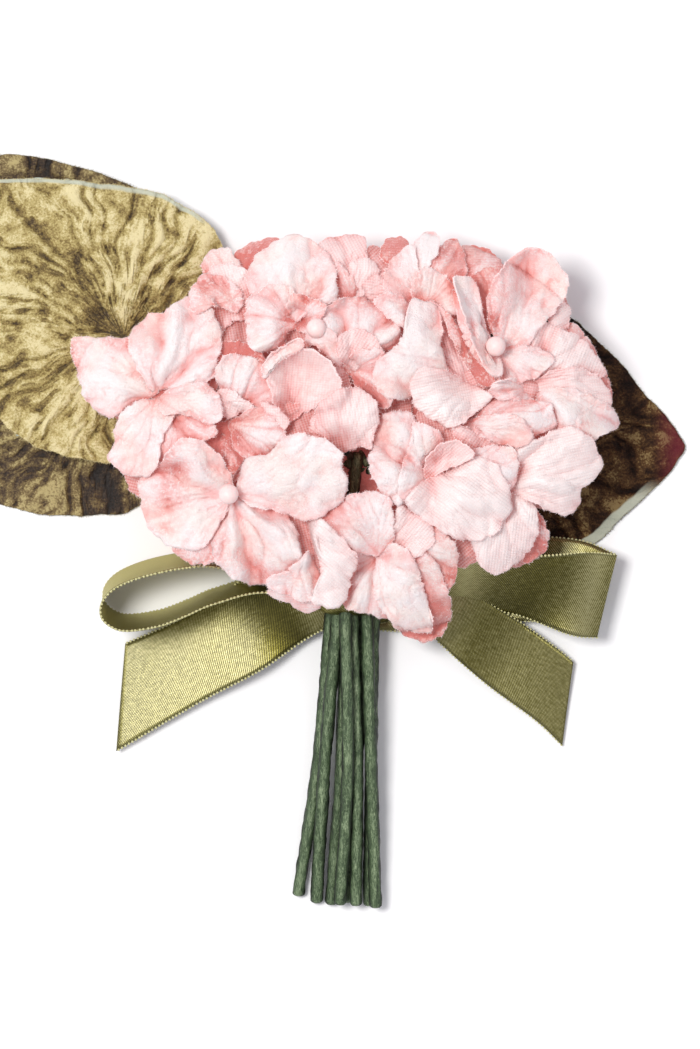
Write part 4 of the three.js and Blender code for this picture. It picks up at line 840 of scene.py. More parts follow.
def widened(field):
    # each cell takes the highest of itself and the eight round it
    padded = np.pad(field, 1, mode="edge")
    rows, columns = field.shape
    return np.max([padded[i:i + rows, j:j + columns] for i in range(3) for j in range(3)], 0)


def blurred(field):
    # each cell is evened out with the four beside it
    padded = np.pad(field, 1, mode="edge")
    return (padded[:-2, 1:-1] + padded[2:, 1:-1] + padded[1:-1, :-2] + padded[1:-1, 2:]
            + 2 * padded[1:-1, 1:-1]) / 6


class HeadMap:
    # how high what is laid so far reaches, so that the next petal can lie on it
    def __init__(self):
        self.size = [int(reach / mapStyle["cell"]) for reach in mapStyle["size"]]
        self.height = np.full(self.size, mapStyle["bottom"])

    def cells(self, places):
        spots = ((places[:, :2] - mapStyle["low"]) / mapStyle["cell"]).astype(int)
        return np.clip(spots[:, 0], 1, self.size[0] - 2), np.clip(spots[:, 1], 1, self.size[1] - 2)

    def lay(self, places):
        np.maximum.at(self.height, self.cells(places), places[:, 2])

    def below(self, places):
        return widened(self.height)[self.cells(places)]

    def sunk(self, places):
        # how far a place lies below what is round it, up to 1
        field = np.maximum(self.height, places[:, 2].min())
        for _ in range(mapStyle["shadePasses"]):
            field = blurred(field)
        return np.clip((field[self.cells(places)] - places[:, 2]) / mapStyle["shadeDepth"], 0, 1)


def settle(sheet, headMap):
    # lifts the petal where lower ones would cut through it, softened so that it drapes over them
    cells = petalStyle["cells"] + 1
    places = sheet["places"]
    free = smoothStep(*petalStyle["liftFree"], sheet["far"])
    need = headMap.below(places) + petalStyle["gap"] - places[:, 2]
    need = np.clip(need, 0, petalStyle["liftLimit"]) * free
    need = widened(need.reshape(cells, cells))
    lift = need
    spreading, softening = petalStyle["drape"]
    for _ in range(spreading):
        lift = np.maximum(blurred(lift), need)
    for _ in range(softening):
        lift = blurred(lift)
    places[:, 2] += lift.ravel() * free
    headMap.lay(places)


def petalMesh(sheet):
    bm = gridMesh(petalStyle["cells"], petalStyle["cells"])
    setPlaces(bm, sheet["places"])
    setField(bm, "edge", sheet["edge"])
    setField(bm, "hollow", sheet["hollow"] * 0.5 + 0.5)
    setField(bm, "tone", sheet["tone"])
    setField(bm, "sunk", sheet["sunk"])
    # painted shade: the petal's colour deepens towards its sunk throat
    setField(bm, "throat", np.exp(-(sheet["far"] / petalStyle["throatShade"]) ** 2))
    setVector(bm, "sweep", [Vector(value) * mm for value in sheet["sweep"]])
    setUv(bm, sheet["flat"] * mm)
    for face in bm.faces:
        face.material_index = 1 if sheet["form"]["weave"] else 0
    return bm


# The velvet's cut pile: hairs to a millimetre of edge, their length, half width and root depth.
fuzzStyle = dict(onPetal=16, onLeaf=14, length=(0.2, 0.75), width=0.05, root=0.05, spread=0.8,
                 tooShort=1e-4)


def fuzzMesh(sheets, rand, perMillimetre):
    # single hairs that stand out of the velvet's edges, one thin triangle each
    bm = bmesh.new()
    for sheet in sheets:
        cells = math.isqrt(len(sheet["places"]))
        places = sheet["places"].reshape(cells, cells, 3)
        ring = ([(i, 0) for i in range(cells)] + [(cells - 1, j) for j in range(1, cells)]
                + [(i, cells - 1) for i in range(cells - 2, -1, -1)]
                + [(0, j) for j in range(cells - 2, 0, -1)])
        inner = [(min(max(i, 1), cells - 2), min(max(j, 1), cells - 2)) for i, j in ring]
        for k, (spot, within) in enumerate(zip(ring, inner)):
            here, there = Vector(places[spot]), Vector(places[ring[(k + 1) % len(ring)]])
            outward = here - Vector(places[within])
            step = there - here
            if min(outward.length, step.length) < fuzzStyle["tooShort"]:
                continue
            outward.normalize()
            count = step.length * perMillimetre
            for _ in range(int(count) + (rand.random() < count % 1)):
                root = here + step * rand.random() - outward * fuzzStyle["root"]
                aim = outward + Vector([rand.gauss(0, fuzzStyle["spread"]) for _ in range(3)])
                reach = rand.uniform(*fuzzStyle["length"]) * rand.random() ** 0.5
                across = aim.cross(Vector((rand.gauss(0, 1), rand.gauss(0, 1), 1))).normalized()
                half = across * fuzzStyle["width"]
                tip = root + aim.normalized() * reach
                bm.faces.new([bm.verts.new(toFrame(p)) for p in (root - half, root + half, tip)])
    return bm


# What both sides of the petal cloth share. The faint emission is painted light: it stands in for the light
# that petals pass on to each other, so that their shadows stay rosy.
petalCloth = dict(Subsurface_Weight=0.5, Subsurface_Scale=0.0013, Subsurface_Radius=(1.0, 0.8, 0.76),
                  Emission_Strength=0.06, Emission_Color=(1.0, 0.34, 0.30, 1.0))


def velvetFinish():
    finish = Finish("petalVelvet", Roughness=0.85, Sheen_Weight=0.6, Sheen_Roughness=0.45,
                    Sheen_Tint=(1.0, 0.95, 0.95, 1.0), **petalCloth)
    place = finish.place()
    sweep = finish.vector("sweep")
    tone = finish.attribute("tone")
    rim = (finish.attribute("edge") * (-1.0 / 1.8)).exponent()
    hollow = finish.attribute("hollow")
    throat = finish.attribute("throat")
    sunk = finish.attribute("sunk")
    blotch = finish.grain(place, 3.2, detail=3, roughness=0.6)
    streak = finish.grain(finish.stretched(sweep, (1.0, 0.42, 1.0)), 1.3, detail=3, roughness=0.6)
    crushed = finish.grain(place, 0.75, detail=3, roughness=0.7)
    pile = finish.grain(place, 0.4, detail=2, roughness=0.75)
    warm = finish.spread(finish.grain(place, 7.0, detail=1), 0.45, 0.62, 0.0, 1.0)
    # Painted shade: hollows, sunk places and the throat are coloured a deeper pink where shade falls within
    # and between petals; tone, rim, blotch and streak are the cloth's own colour.
    rosy = (tone * 0.8 + rim * 0.3 + (hollow - 0.5) * 0.6 + (blotch - 0.5) * 0.65
            + (streak - 0.5) * 0.35 + sunk * 0.5 + throat * 0.2 - 0.08).clamped()
    colour = finish.ramp(rosy, (0.0, (0.90, 0.81, 0.80)), (0.25, (0.88, 0.67, 0.66)),
                         (0.55, (0.85, 0.48, 0.47)), (0.8, (0.77, 0.33, 0.31)), (1.0, (0.60, 0.17, 0.15)))
    # Painted highlight: white glints of the crushed pile are mixed into the colour, fewer in hollows and
    # sunk places.
    glint = crushed * 0.5 + pile * 0.55 + streak * 0.15 - hollow * 0.2 - sunk * 0.2
    colour = finish.mix(finish.spread(glint, 0.42, 0.64, 0.0, 0.75), colour, (0.94, 0.89, 0.89))
    colour = finish.mix(warm, colour, (1.0, 0.97, 0.93), blend="MULTIPLY")
    height = crushed * 0.6 + streak * 0.25 + pile * 0.7
    finish.set(Base_Color=colour, Normal=finish.bump(height, 0.4, 1.0))
    return finish.material


def weaveFinish():
    finish = Finish("petalWeave", Roughness=0.55, Sheen_Weight=0.25, Sheen_Roughness=0.3,
                    Sheen_Tint=(1.0, 0.93, 0.92, 1.0), **petalCloth)
    uv = finish.uv()
    tone = finish.attribute("tone")
    rim = (finish.attribute("edge") * (-1.0 / 0.8)).exponent()
    hollow = finish.attribute("hollow")
    sunk = finish.attribute("sunk")
    blotch = finish.grain(finish.place(), 4.0, detail=2)
    # Painted shade: hollows and sunk places are coloured a deeper pink; tone, rim and blotch are the
    # cloth's own colour.
    rosy = (tone * 0.8 + rim * 0.28 + (hollow - 0.5) * 0.45 + (blotch - 0.5) * 0.45
            + sunk * 0.5 - 0.02).clamped()
    colour = finish.ramp(rosy, (0.0, (0.93, 0.80, 0.775)), (0.4, (0.88, 0.62, 0.60)),
                         (0.75, (0.79, 0.41, 0.40)), (1.0, (0.60, 0.19, 0.17)))
    across, along = finish.acrossAlong(uv)
    pitch = math.tau / (0.55 * mm)
    slub = finish.grain(finish.stretched(uv, (0.25, 1.0, 1.0)), 0.4, detail=2)
    threads = (along * pitch + slub * 1.2).sine() * 0.6 + (across * (pitch * 1.2)).sine() * 0.4
    colour = finish.mix(finish.spread(threads, -1, 1, 0, 0.32), colour, (0.97, 0.91, 0.90))
    finish.set(Base_Color=colour, Normal=finish.bump(threads + slub, 0.06, 0.8))
    return finish.material


def fuzzFinish(name, dark, light, paintedGlow):
    # Painted light: the hairs give off light in their own colour, so that they stay bright even in shade.
    finish = Finish(name, Roughness=0.9, Sheen_Weight=0.4, Emission_Strength=paintedGlow)
    tint = finish.mix(finish.grain(finish.place(), 3.0), dark, light)
    finish.set(Base_Color=tint, Emission_Color=tint)
    return finish.material


def pipFinish():
    finish = Finish("pipPearl", Roughness=0.42, Subsurface_Weight=0.4, Subsurface_Scale=0.001,
                    Subsurface_Radius=(1.0, 0.45, 0.4))
    speckle = finish.grain(finish.place(), 0.5, detail=2)
    finish.set(Base_Color=finish.mix(speckle, (0.86, 0.62, 0.60), (0.90, 0.75, 0.73)),
               Normal=finish.bump(speckle, 0.08, 0.5))
    return finish.material


# A soft inner cushion that keeps the eye from passing between the petals; it is a sheet of painted shade,
# coloured like the deep shaded inside of the head.
# It lies `under` the dome, drops away round the dome's hollow and sags in the middle of its underside.
# Each kind of lump has a height, a width in dots of the picture and a seed.
cushion = dict(
    cells=(72, 36),
    reach=0.68,
    under=5.4,
    bottom=11.5,
    sag=2,
    clear=(24, 44),
    drop=8.0,
    lumps=dict(top=(1.2, 18, 3), bottom=(0.8, 9, 7)),
    # painted shade: the fields colour the cushion as fully sunk, deep-toned velvet
    fields=dict(edge=5.0, hollow=0.5, tone=0.85, sunk=1.0, throat=0.0),
)


def cushionLump(side, px, py):
    height, period, seed = cushion["lumps"][side]
    return height * noise.noise(Vector((px / period, py / period, seed)))


def cushionMesh():
    bm = bmesh.new()
    around, upright = cushion["cells"]
    bmesh.ops.create_uvsphere(bm, u_segments=around, v_segments=upright, radius=1.0)
    for vertex in bm.verts:
        x, y, z = vertex.co
        px = dome["middle"][0] + dome["reach"][0] * cushion["reach"] * x
        py = dome["middle"][1] - dome["reach"][1] * cushion["reach"] * y
        low = cushion["bottom"] - cushion["sag"] * math.sqrt(max(-z, 0)) + cushionLump("bottom", px, py)
        away = math.hypot(px - dome["hollow"][0], py - dome["hollow"][1])
        top = float(domeHeight(px, py)) - cushion["under"] + cushionLump("top", px, py)
        top -= cushion["drop"] * (1 - float(smoothStep(*cushion["clear"], away)))
        height = low + (top - low) * math.sqrt(z) if z > 0 else low
        vertex.co = toFrame((*onTable(px, py, height), height))
    for name, value in cushion["fields"].items():
        setField(bm, name, [value] * len(bm.verts))
    setVector(bm, "sweep", [vertex.co.copy() for vertex in bm.verts])
    return bm


def makeHead():
    rand = random.Random(bunch["seed"])
    low = skirtFloret(rand)
    deep = underFloret(rand)
    # the deeper petals are two pieces, because they are many for one
    half = len(deep["petals"]) // 2
    everyFloret = dict(skirt=low, under=dict(deep, petals=deep["petals"][:half]),
                       underInner=dict(deep, petals=deep["petals"][half:]), **florets)
    sheets = []
    for name, floret in everyFloret.items():
        for form in floret["petals"]:
            sheet = petalSheet(floret["at"], form, rand)
            sheet["floret"] = name
            sheets.append(sheet)
    headMap = HeadMap()
    for sheet in sorted(sheets, key=lambda s: s["form"]["layer"]):
        settle(sheet, headMap)
    # how sunk each place is, for the painted shade in the petals' colour
    for sheet in sheets:
        sheet["sunk"] = headMap.sunk(sheet["places"])
    velvet, weave = velvetFinish(), weaveFinish()
    # the petal hairs are painted to give off light
    fuzz = fuzzFinish("petalFuzz", (0.94, 0.72, 0.71), (0.97, 0.86, 0.86), 0.16)
    for name in everyFloret:
        own = [sheet for sheet in sheets if sheet["floret"] == name]
        # velvet stands again after the weave, as the back of a petal whose woven side is up
        petals = finishMesh(f"{name}Petals", [petalMesh(sheet) for sheet in own], [velvet, weave, velvet])
        thicken(petals, petalStyle["thickness"], backMaterial=1)
        ride(petals, "petal_velvet", "flower_head")
        hair = fuzzMesh(own, rand, fuzzStyle["onPetal"])
        ride(finishMesh(f"{name}Fuzz", [hair], [fuzz], smooth=False), "petal_velvet")
    ride(finishMesh("headCushion", [cushionMesh()], [velvet]), "petal_velvet")
    print("flower head:", len(sheets), "petals")


# The round beads in the throats that show.
pips = dict(
    diameter=3.7,
    dimple=0.03,
    dimplePitch=700,
    places=dict(pip_low_left=(-22.4, 5.6, 28.3), pip_up_left=(-6.2, 36.2, 28.4), pip_right=(27, 33, 25.8)),
)


def makePips():
    finish = pipFinish()
    for node, place in pips["places"].items():
        bm = bmesh.new()
        bmesh.ops.create_icosphere(bm, subdivisions=4, radius=pips["diameter"] / 2 * mm)
        for vertex in bm.verts:
            vertex.co *= 1 + pips["dimple"] * noise.noise(vertex.co * pips["dimplePitch"])
        bmesh.ops.translate(bm, verts=bm.verts[:], vec=toFrame(place))
        ride(finishMesh(node.replace("_", "") + "Bead", [bm], [finish]), "pip_pearl", node)
    print("pips done")


# Paper-wrapped wires: `top` and `neck` are where the bundle goes up into the head.
stemStyle = dict(
    cells=(18, 300),
    diameter=2.4,
    wrap=0.97,
    twist=9.0,
    pleat=0.22,  # the share of the radius, then how fast it changes round and along
    pleatRound=2.3,
    pleatAlong=0.09,
    pleatScale=1.3,
    wrinkle=0.04,
    wrinkleRound=2,
    wrinkleAlong=0.7,
    capShare=0.35,  # how much thinner the very end is, and over what length
    capReach=0.25,
    top=(2.4, 13.5, 2.4),
    neck=(0.6, -4, 0.3),
    knotStation=-16,
    middleStation=-45,
    spread=1.08,
)

# Eight wires from left to right: across the bundle at the knot and half-way, and where they end.
stems = [
    dict(knot=(-3.6, 8.2), middle=(-6.1, 4.4), end=(-9.9, -70.4, 1.3)),
    dict(knot=(-2.25, 10.6), middle=(-4.75, 6.8), end=(-6.4, -71.7, 1.3)),
    dict(knot=(-0.9, 8.2), middle=(-1.7, 4.4), end=(-3.6, -72.1, 1.3)),
    dict(knot=(-0.9, 12.95), middle=(-0.4, 9.3), end=(-1.9, -71.9, 3.9)),
    dict(knot=(0.45, 10.6), middle=(1.3, 7.15), end=(1.1, -72.1, 3.7)),
    dict(knot=(1.8, 8.2), middle=(1.3, 4.4), end=(-0.8, -71.7, 1.3)),
    dict(knot=(3.2, 10.6), middle=(4, 7.15), end=(4.9, -72.5, 3.8)),
    dict(knot=(4.5, 8.2), middle=(4, 4.4), end=(3.6, -72.3, 1.3)),
]


def stemPath(form):
    (x, z), (middleX, middleZ) = form["knot"], form["middle"]
    (topX, topY, topZ), (neckX, neckY, neckZ) = stemStyle["top"], stemStyle["neck"]
    spread = stemStyle["spread"]
    return [
        (topX + x * spread, topY, topZ + z * spread),
        (neckX + x * spread, neckY, neckZ + z * spread),
        (x, stemStyle["knotStation"], z),
        (middleX, stemStyle["middleStation"], middleZ),
        form["end"],
    ]


def wrapFinish():
    finish = Finish("stemWrap", Roughness=0.55)
    place = finish.place()
    fibres = finish.grain(finish.stretched(place, (1.0, 0.14, 1.0)), 0.24, detail=3, roughness=0.7,
                          distortion=1.6)
    twist = finish.grain(finish.stretched(place, (1.0, 0.16, 1.0)), 1.3, detail=2, distortion=1.2)
    patches = finish.grain(place, 6.0, detail=2)
    facing = finish.attribute("facing")
    # Painted light: places facing up or down are painted lighter and the flanks darker, over the paper's
    # own fibres, twist and patches.
    light = (fibres * 1.9 + twist * 0.7 + patches * 0.3 + facing * 0.8 - 1.68).clamped()
    colour = finish.ramp(light, (0.0, (0.006, 0.010, 0.004)), (0.45, (0.050, 0.090, 0.034)),
                         (1.0, (0.34, 0.43, 0.25)))
    finish.set(Base_Color=colour, Normal=finish.bump(fibres + twist, 0.16, 0.9))
    return finish.material


def stemSpot(angle, travelled, number, byRound, byAlong):
    # where in the noise a place on a stem is read; the number keeps the stems apart
    return Vector((math.cos(angle) * byRound, math.sin(angle) * byRound + number, travelled * byAlong))


def makeStems(wrap):
    rand = random.Random(bunch["seed"] + 1)
    for number, form in enumerate(stems, 1):
        turn = rand.uniform(0, math.tau)

        def ridged(angle, travelled, whole):
            # the paper lies in long twisted pleats round the wire
            twisted = angle + turn + travelled / stemStyle["twist"]
            spot = stemSpot(twisted, travelled, number, stemStyle["pleatRound"], stemStyle["pleatAlong"])
            pleats = stemStyle["pleat"] * noise.noise(spot * stemStyle["pleatScale"])
            spot = stemSpot(angle, travelled, number, stemStyle["wrinkleRound"], stemStyle["wrinkleAlong"])
            wrinkle = stemStyle["wrinkle"] * noise.noise(spot)
            end = min(travelled, whole - travelled)
            cap = 1 - stemStyle["capShare"] * math.exp(-(end / stemStyle["capReach"]) ** 2)
            return (1 + pleats + wrinkle) * cap * stemStyle["wrap"]

        bm = tubeMesh(stemPath(form), stemStyle["diameter"] / 2, *stemStyle["cells"], ridged)
        ride(finishMesh(f"stem{number}Wrap", [bm], [wrap]), "stem_wrap", f"stem_{number}")
    print("stems:", len(stems))


# The florets' own thin wires: where they start, how far apart, and the height they cross at.
innerWires = dict(start=(2.4, 11, 14), pitch=(1.6, 0.5, 0.9), middle=13.0, below=3.0, radius=0.6,
                  cells=(8, 24))


def makeInnerWires(wrap):
    # from the top of the bundle to each throat
    parts = []
    (startX, startY, startZ), (pitchX, pitchY, pitchZ) = innerWires["start"], innerWires["pitch"]
    for number, floret in enumerate(florets.values()):
        z = float(domeHeight(*floret["at"])) - petalStyle["throatDepth"]
        x, y = onTable(*floret["at"], z)
        start = (startX + (number % 4 - 1.5) * pitchX, startY - pitchY * (number // 6),
                 startZ + pitchZ * (number % 3))
        middle = ((start[0] + x) / 2, (start[1] + y) / 2, innerWires["middle"])
        path = [start, middle, (x, y, z - innerWires["below"])]
        parts.append(tubeMesh(path, innerWires["radius"], *innerWires["cells"]))
    ride(finishMesh("floretWires", parts, [wrap]), "stem_wrap")
    print("floret wires:", len(parts))


# Velvet leaves: heights of the relief in millimetres, and `lowest` is how near the table they come.
leafStyle = dict(
    cells=150,
    thickness=0.5,
    fold=0.65,
    rib=0.8,
    crush=0.22,
    wander=0.5,
    nick=0.16,
    lowest=0.4,
    softness=2.5,
    borderReach=22,
    warp=(9.0, 0.14),  # the period of a slow bending of the folds, and how strong it is
    sway=(5.0, 0.07),
    folds=(2.6, 0.03),  # how fast they change round the vein's centre and outwards
    creases=(7.0, 0.08, 0.3),
    spokes=(12, 0.22, 0.5),
    grooveWidth=0.11,
    crushPeriod=1.6,
    stain=(0.84, 0.97),  # the share of the way to the tip over which a stain comes up
    petiole=1.9,
    petioleCells=(12, 60),
)

# Outlines and vein centres are read off the picture, and `main` is the midrib's heading in degrees.
# `pale` gives the headings between which the edge is rubbed pale, `band` how wide, and `wire` the
# petiole's way in millimetres.
leaves = dict(
    leaf_left=dict(vein=(123, 337), height=6.0, droop=1.0, seed=3, main=141.5, pale=(52, 150), band=0.9,
                   nearLight=1.0,
                   rim=[(-65, 187), (-36, 181), (0, 178), (65, 180), (130, 187), (160, 195), (190, 210),
                        (220, 240), (232, 290), (222, 350), (196, 400), (158, 440), (107, 462), (52, 452),
                        (26, 441), (0, 420), (-25, 379), (-44, 319), (-60, 253)],
                   wire=[(-36, 30, 6), (-22, 16, 3.4), (-9, -1, 4.8), (-6.9, -7.5, 5.2)]),
    leaf_left_back=dict(vein=(113, 322), height=3.5, droop=0.6, seed=5, main=146,
                        rim=[(-68, 200), (-38, 168), (0, 155), (26, 156), (52, 160), (78, 167), (105, 174),
                             (128, 184), (170, 214), (204, 260), (214, 310), (196, 352), (150, 382),
                             (90, 400), (30, 394), (-20, 360), (-48, 310), (-64, 250)],
                        wire=[(-29, 33, 3.4), (-12, 24, 3.2), (-1.5, 8, 1.6), (-1, -1, 1.4)]),
    leaf_left_low=dict(vein=(118, 388), height=1.1, droop=0.6, seed=8, main=190,
                       rim=[(-68, 421), (-52, 462), (-28, 488), (0, 504), (52, 516), (110, 514), (139, 507),
                            (172, 488), (196, 448), (202, 396), (184, 344), (140, 306), (80, 292),
                            (20, 302), (-25, 336), (-54, 376)],
                       wire=[(-32, 27, 1.4), (-18, 12, 1.3), (-8, -1, 1.5), (-6.4, -7.5, 2)]),
    leaf_right=dict(vein=(466, 451), height=4.5, droop=4.0, seed=11, main=1, pale=(-80, -8), band=2.1,
                    rim=[(686, 447), (679, 459), (666, 477), (639, 502), (613, 527), (596, 542), (566, 562),
                         (530, 574), (486, 578), (440, 566), (404, 540), (382, 500), (377, 452), (388, 400),
                         (420, 350), (468, 320), (520, 308), (566, 317), (586, 331), (606, 350), (626, 371),
                         (643, 393), (666, 416), (681, 436)],
                    wire=[(9, 12, 4.2), (9.6, 2, 2.4), (9.8, -6, 2.2)]),
)


def leafSheet(form):
    step = picture["step"]
    rim = closedCurve([(*spot, 0) for spot in form["rim"]])
    (vx, vy), seed = form["vein"], form["seed"]
    around = np.arctan2(vy - rim[:, 1], rim[:, 0] - vx)
    order = np.argsort(around)
    out = np.hypot(rim[:, 0] - vx, rim[:, 1] - vy)
    x, y = gridShape(leafStyle["cells"], leafStyle["cells"]).T
    reach, angle = roundGrid(x, y)
    radius = np.interp(angle, around[order], out[order], period=math.tau) * step
    border = np.stack([np.cos(angle), np.sin(angle)], 1) * leafStyle["borderReach"]
    border = np.column_stack([border, np.full(len(angle), seed)])
    radius = radius + leafStyle["wander"] * lumps(border, 4.0, seed)
    radius = radius + leafStyle["nick"] * lumps(border, 0.9, seed + 1)
    far = radius * reach
    flat = np.stack([far * np.cos(angle), far * np.sin(angle)], 1)
    spots = np.column_stack([flat, np.full(len(flat), seed)])
    (warpPeriod, warpShare), (swayPeriod, swayShare) = leafStyle["warp"], leafStyle["sway"]
    warp, sway = lumps(spots, warpPeriod, seed), lumps(spots, swayPeriod, seed + 6)
    bent = angle + warpShare * warp + swayShare * sway
    ring = np.stack([np.cos(bent), np.sin(bent)], 1)
    byRing, byFar = leafStyle["folds"]
    fold = lumps(np.column_stack([ring * byRing, far * byFar]), 1.0, seed + 1)
    byRing, byFar, bySway = leafStyle["creases"]
    crease = lumps(np.column_stack([ring * byRing, far * byFar + bySway * sway]), 1.0, seed + 2)
    groove = grooved(crease, leafStyle["grooveWidth"])
    swell = smoothStep(1.0, 7.0, far) * (1 - 0.3 * smoothStep(0.85, 1.0, reach))
    main = math.radians(form["main"])
    offLine = np.abs(flat[:, 0] * math.sin(main) - flat[:, 1] * math.cos(main)) + 0.8 * np.abs(warp)
    tipward = flat[:, 0] * math.cos(main) + flat[:, 1] * math.sin(main)
    ahead = smoothStep(0.0, 4.0, tipward)
    midrib = np.exp(-offLine / 0.8) * ahead
    crush = lumps(spots, leafStyle["crushPeriod"], seed + 3)
    relief = leafStyle["fold"] * 1.8 * fold + leafStyle["rib"] * (groove - 0.7) * 1.2
    lift = relief * swell + leafStyle["crush"] * crush * swell - 0.7 * midrib - 0.6 * np.exp(-far / 1.5)
    height = form["height"] + lift - form["droop"] * reach ** 2
    lowest, softness = leafStyle["lowest"], leafStyle["softness"]
    height = lowest + np.log1p(np.exp((height - lowest) * softness)) / softness
    px, py = vx + flat[:, 0] / step, vy - flat[:, 1] / step
    tableX, tableY = onTable(px, py, height)
    # Painted shade and light: depth is the leaf's lightness; the grooves, the midrib and the vein's centre
    # are painted darker and the folds' ridges lighter, along with the crush of the pile.
    broadRib = np.exp(-offLine / 1.5) * ahead * np.exp(-far / 45)
    # Painted light: where nearLight is set, the side below the vein is painted lighter.
    nearSide = smoothStep(2, 14, -flat[:, 1]) * form.get("nearLight", 0.0)
    depth = (0.16 + 0.62 * groove + 0.6 * fold + 0.35 * crush - 0.85 * broadRib) * (1 - 0.35 * nearSide)
    depth = (depth + 0.35 * nearSide) * (1 - 0.9 * np.exp(-far / 3.0))
    byRing, byFar, bySway = leafStyle["spokes"]
    spoke = np.column_stack([ring * byRing, far * byFar + bySway * sway])
    first, last = form.get("pale", (0, 0))
    turn = np.degrees(angle)
    pale = smoothStep(first, first + 8, turn) * (1 - smoothStep(last - 8, last, turn))
    band = form.get("band", 1.0)
    pale = pale * (1 - smoothStep(band - 0.2, band, radius - far)) * (first != last)
    stain = smoothStep(*leafStyle["stain"], tipward / (out.max() * step))
    return dict(places=np.stack([tableX, tableY, height], 1), flat=flat, depth=np.clip(depth, 0, 1),
                spoke=spoke, stain=stain, pale=pale)


def leafVelvet(name, *stops, burgundy=0.0, shine=0.5):
    finish = Finish(name, Roughness=0.5, Sheen_Weight=0.4 * shine, Sheen_Roughness=0.3,
                    Specular_IOR_Level=shine, Sheen_Tint=(1.0, 0.82, 0.62, 1.0))
    place = finish.place()
    depth = finish.attribute("depth")
    blotch = finish.grain(place, 4.0, detail=3, roughness=0.6)
    creased = finish.grain(finish.vector("spoke"), 1.0, detail=2, roughness=0.6)
    nap = finish.grain(place, 0.42, detail=3, roughness=0.8)
    # Painted shade: the creases, which the bump also sinks, are coloured darker; nap and blotch are the
    # velvet's own.
    valley = finish.spread(creased, 0.33, 0.5)
    light = (depth * 0.9 + valley * 0.42 + (nap - 0.5) * 1.6 + (blotch - 0.5) * 0.9 - 0.26).clamped()
    colour = finish.ramp(light, *stops)
    if burgundy:
        colour = finish.mix(finish.attribute("stain") * burgundy, colour, (0.16, 0.018, 0.03))
    colour = finish.mix(finish.attribute("pale") * 0.9, colour, (0.53, 0.56, 0.45))
    finish.set(Base_Color=colour, Normal=finish.bump(valley * 0.8 + nap * 0.8, 0.35, 1.0),
               Roughness=finish.spread(nap, 0.3, 0.7, 0.7, 0.38))
    return finish.material


def backingFinish():
    finish = Finish("leafBacking", Roughness=0.8)
    weave = finish.grain(finish.place(), 0.4, detail=2)
    finish.set(Base_Color=finish.mix(weave, (0.50, 0.55, 0.44), (0.62, 0.66, 0.56)),
               Normal=finish.bump(weave, 0.06, 0.5))
    return finish.material


def makeLeaves(wrap):
    gold = leafVelvet("leafGold", (0.0, (0.05, 0.028, 0.008)), (0.35, (0.22, 0.15, 0.04)),
                      (0.65, (0.47, 0.37, 0.13)), (1.0, (0.76, 0.66, 0.36)))
    dark = leafVelvet("leafDark", (0.0, (0.008, 0.004, 0.002)), (0.4, (0.055, 0.029, 0.011)),
                      (0.75, (0.19, 0.13, 0.045)), (1.0, (0.46, 0.37, 0.16)))
    stained = leafVelvet("leafDarkStained", (0.0, (0.005, 0.002, 0.001)), (0.45, (0.027, 0.010, 0.004)),
                         (0.85, (0.10, 0.048, 0.016)), (1.0, (0.25, 0.17, 0.07)),
                         burgundy=0.7, shine=0.15)
    backing = backingFinish()
    # the leaf hairs are painted to give off a little light
    goldHair = fuzzFinish("leafGoldFuzz", (0.35, 0.26, 0.08), (0.75, 0.65, 0.35), 0.1)
    darkHair = fuzzFinish("leafDarkFuzz", (0.06, 0.03, 0.012), (0.30, 0.24, 0.1), 0.02)
    rand = random.Random(bunch["seed"] + 5)
    for node, form in leaves.items():
        sheet = leafSheet(form)
        bm = gridMesh(leafStyle["cells"], leafStyle["cells"])
        setPlaces(bm, sheet["places"])
        for field in ("depth", "stain", "pale"):
            setField(bm, field, sheet[field])
        setVector(bm, "spoke", [Vector(value) * mm for value in sheet["spoke"]])
        setUv(bm, sheet["flat"] * mm)
        velvet = {"leaf_left": gold, "leaf_right": stained}.get(node, dark)
        name = node.replace("_", "")
        blade = finishMesh(f"{name}Blade", [bm], [velvet, backing])
        thicken(blade, leafStyle["thickness"], offset=-1.0, backMaterial=1, rimMaterial=1)
        slot = "leaf_velvet_gold" if node == "leaf_left" else "leaf_velvet_dark"
        ride(blade, slot, node)
        hair = fuzzMesh([sheet], rand, fuzzStyle["onLeaf"])
        hairFinish = goldHair if velvet is gold else darkHair
        ride(finishMesh(f"{name}Fuzz", [hair], [hairFinish], smooth=False), slot)
        petiole = tubeMesh(form["wire"], leafStyle["petiole"] / 2, *leafStyle["petioleCells"])
        ride(finishMesh(f"{name}Petiole", [petiole], [wrap]), "stem_wrap")
    print("leaves:", len(leaves))


# The satin ribbon: `cell` is its mesh's step along, `cup` how proud its edges stand, and the wave
# has a height, a length along and a length across.
ribbonStyle = dict(
    width=16.0,
    thickness=0.28,
    acrossCells=20,
    cell=0.8,
    cup=0.2,
    flatStart=12.0,
    wave=(0.6, 9.0, 1.2),
    beadPitch=0.75,
    beadSize=0.28,
    beadStations=400,
)

# The left loop stands on its edge, so one line, one height and one lean give it.
leftLoopLean = (0.2, -2.8, 15.8)
leftLoopHeight = 8.25
leftLoop = [
    (-2, -12.2), (-15.5, -9.6), (-25, -6.7), (-31.2, -6.8), (-38.4, -8.3), (-43.7, -10.4), (-46.3, -13),
    (-46.6, -15.8), (-44.8, -17.7), (-41.8, -18.5), (-35.9, -17.6), (-30.8, -15.7), (-25.3, -13.4),
    (-15.5, -11.3), (-2, -14.2),
]
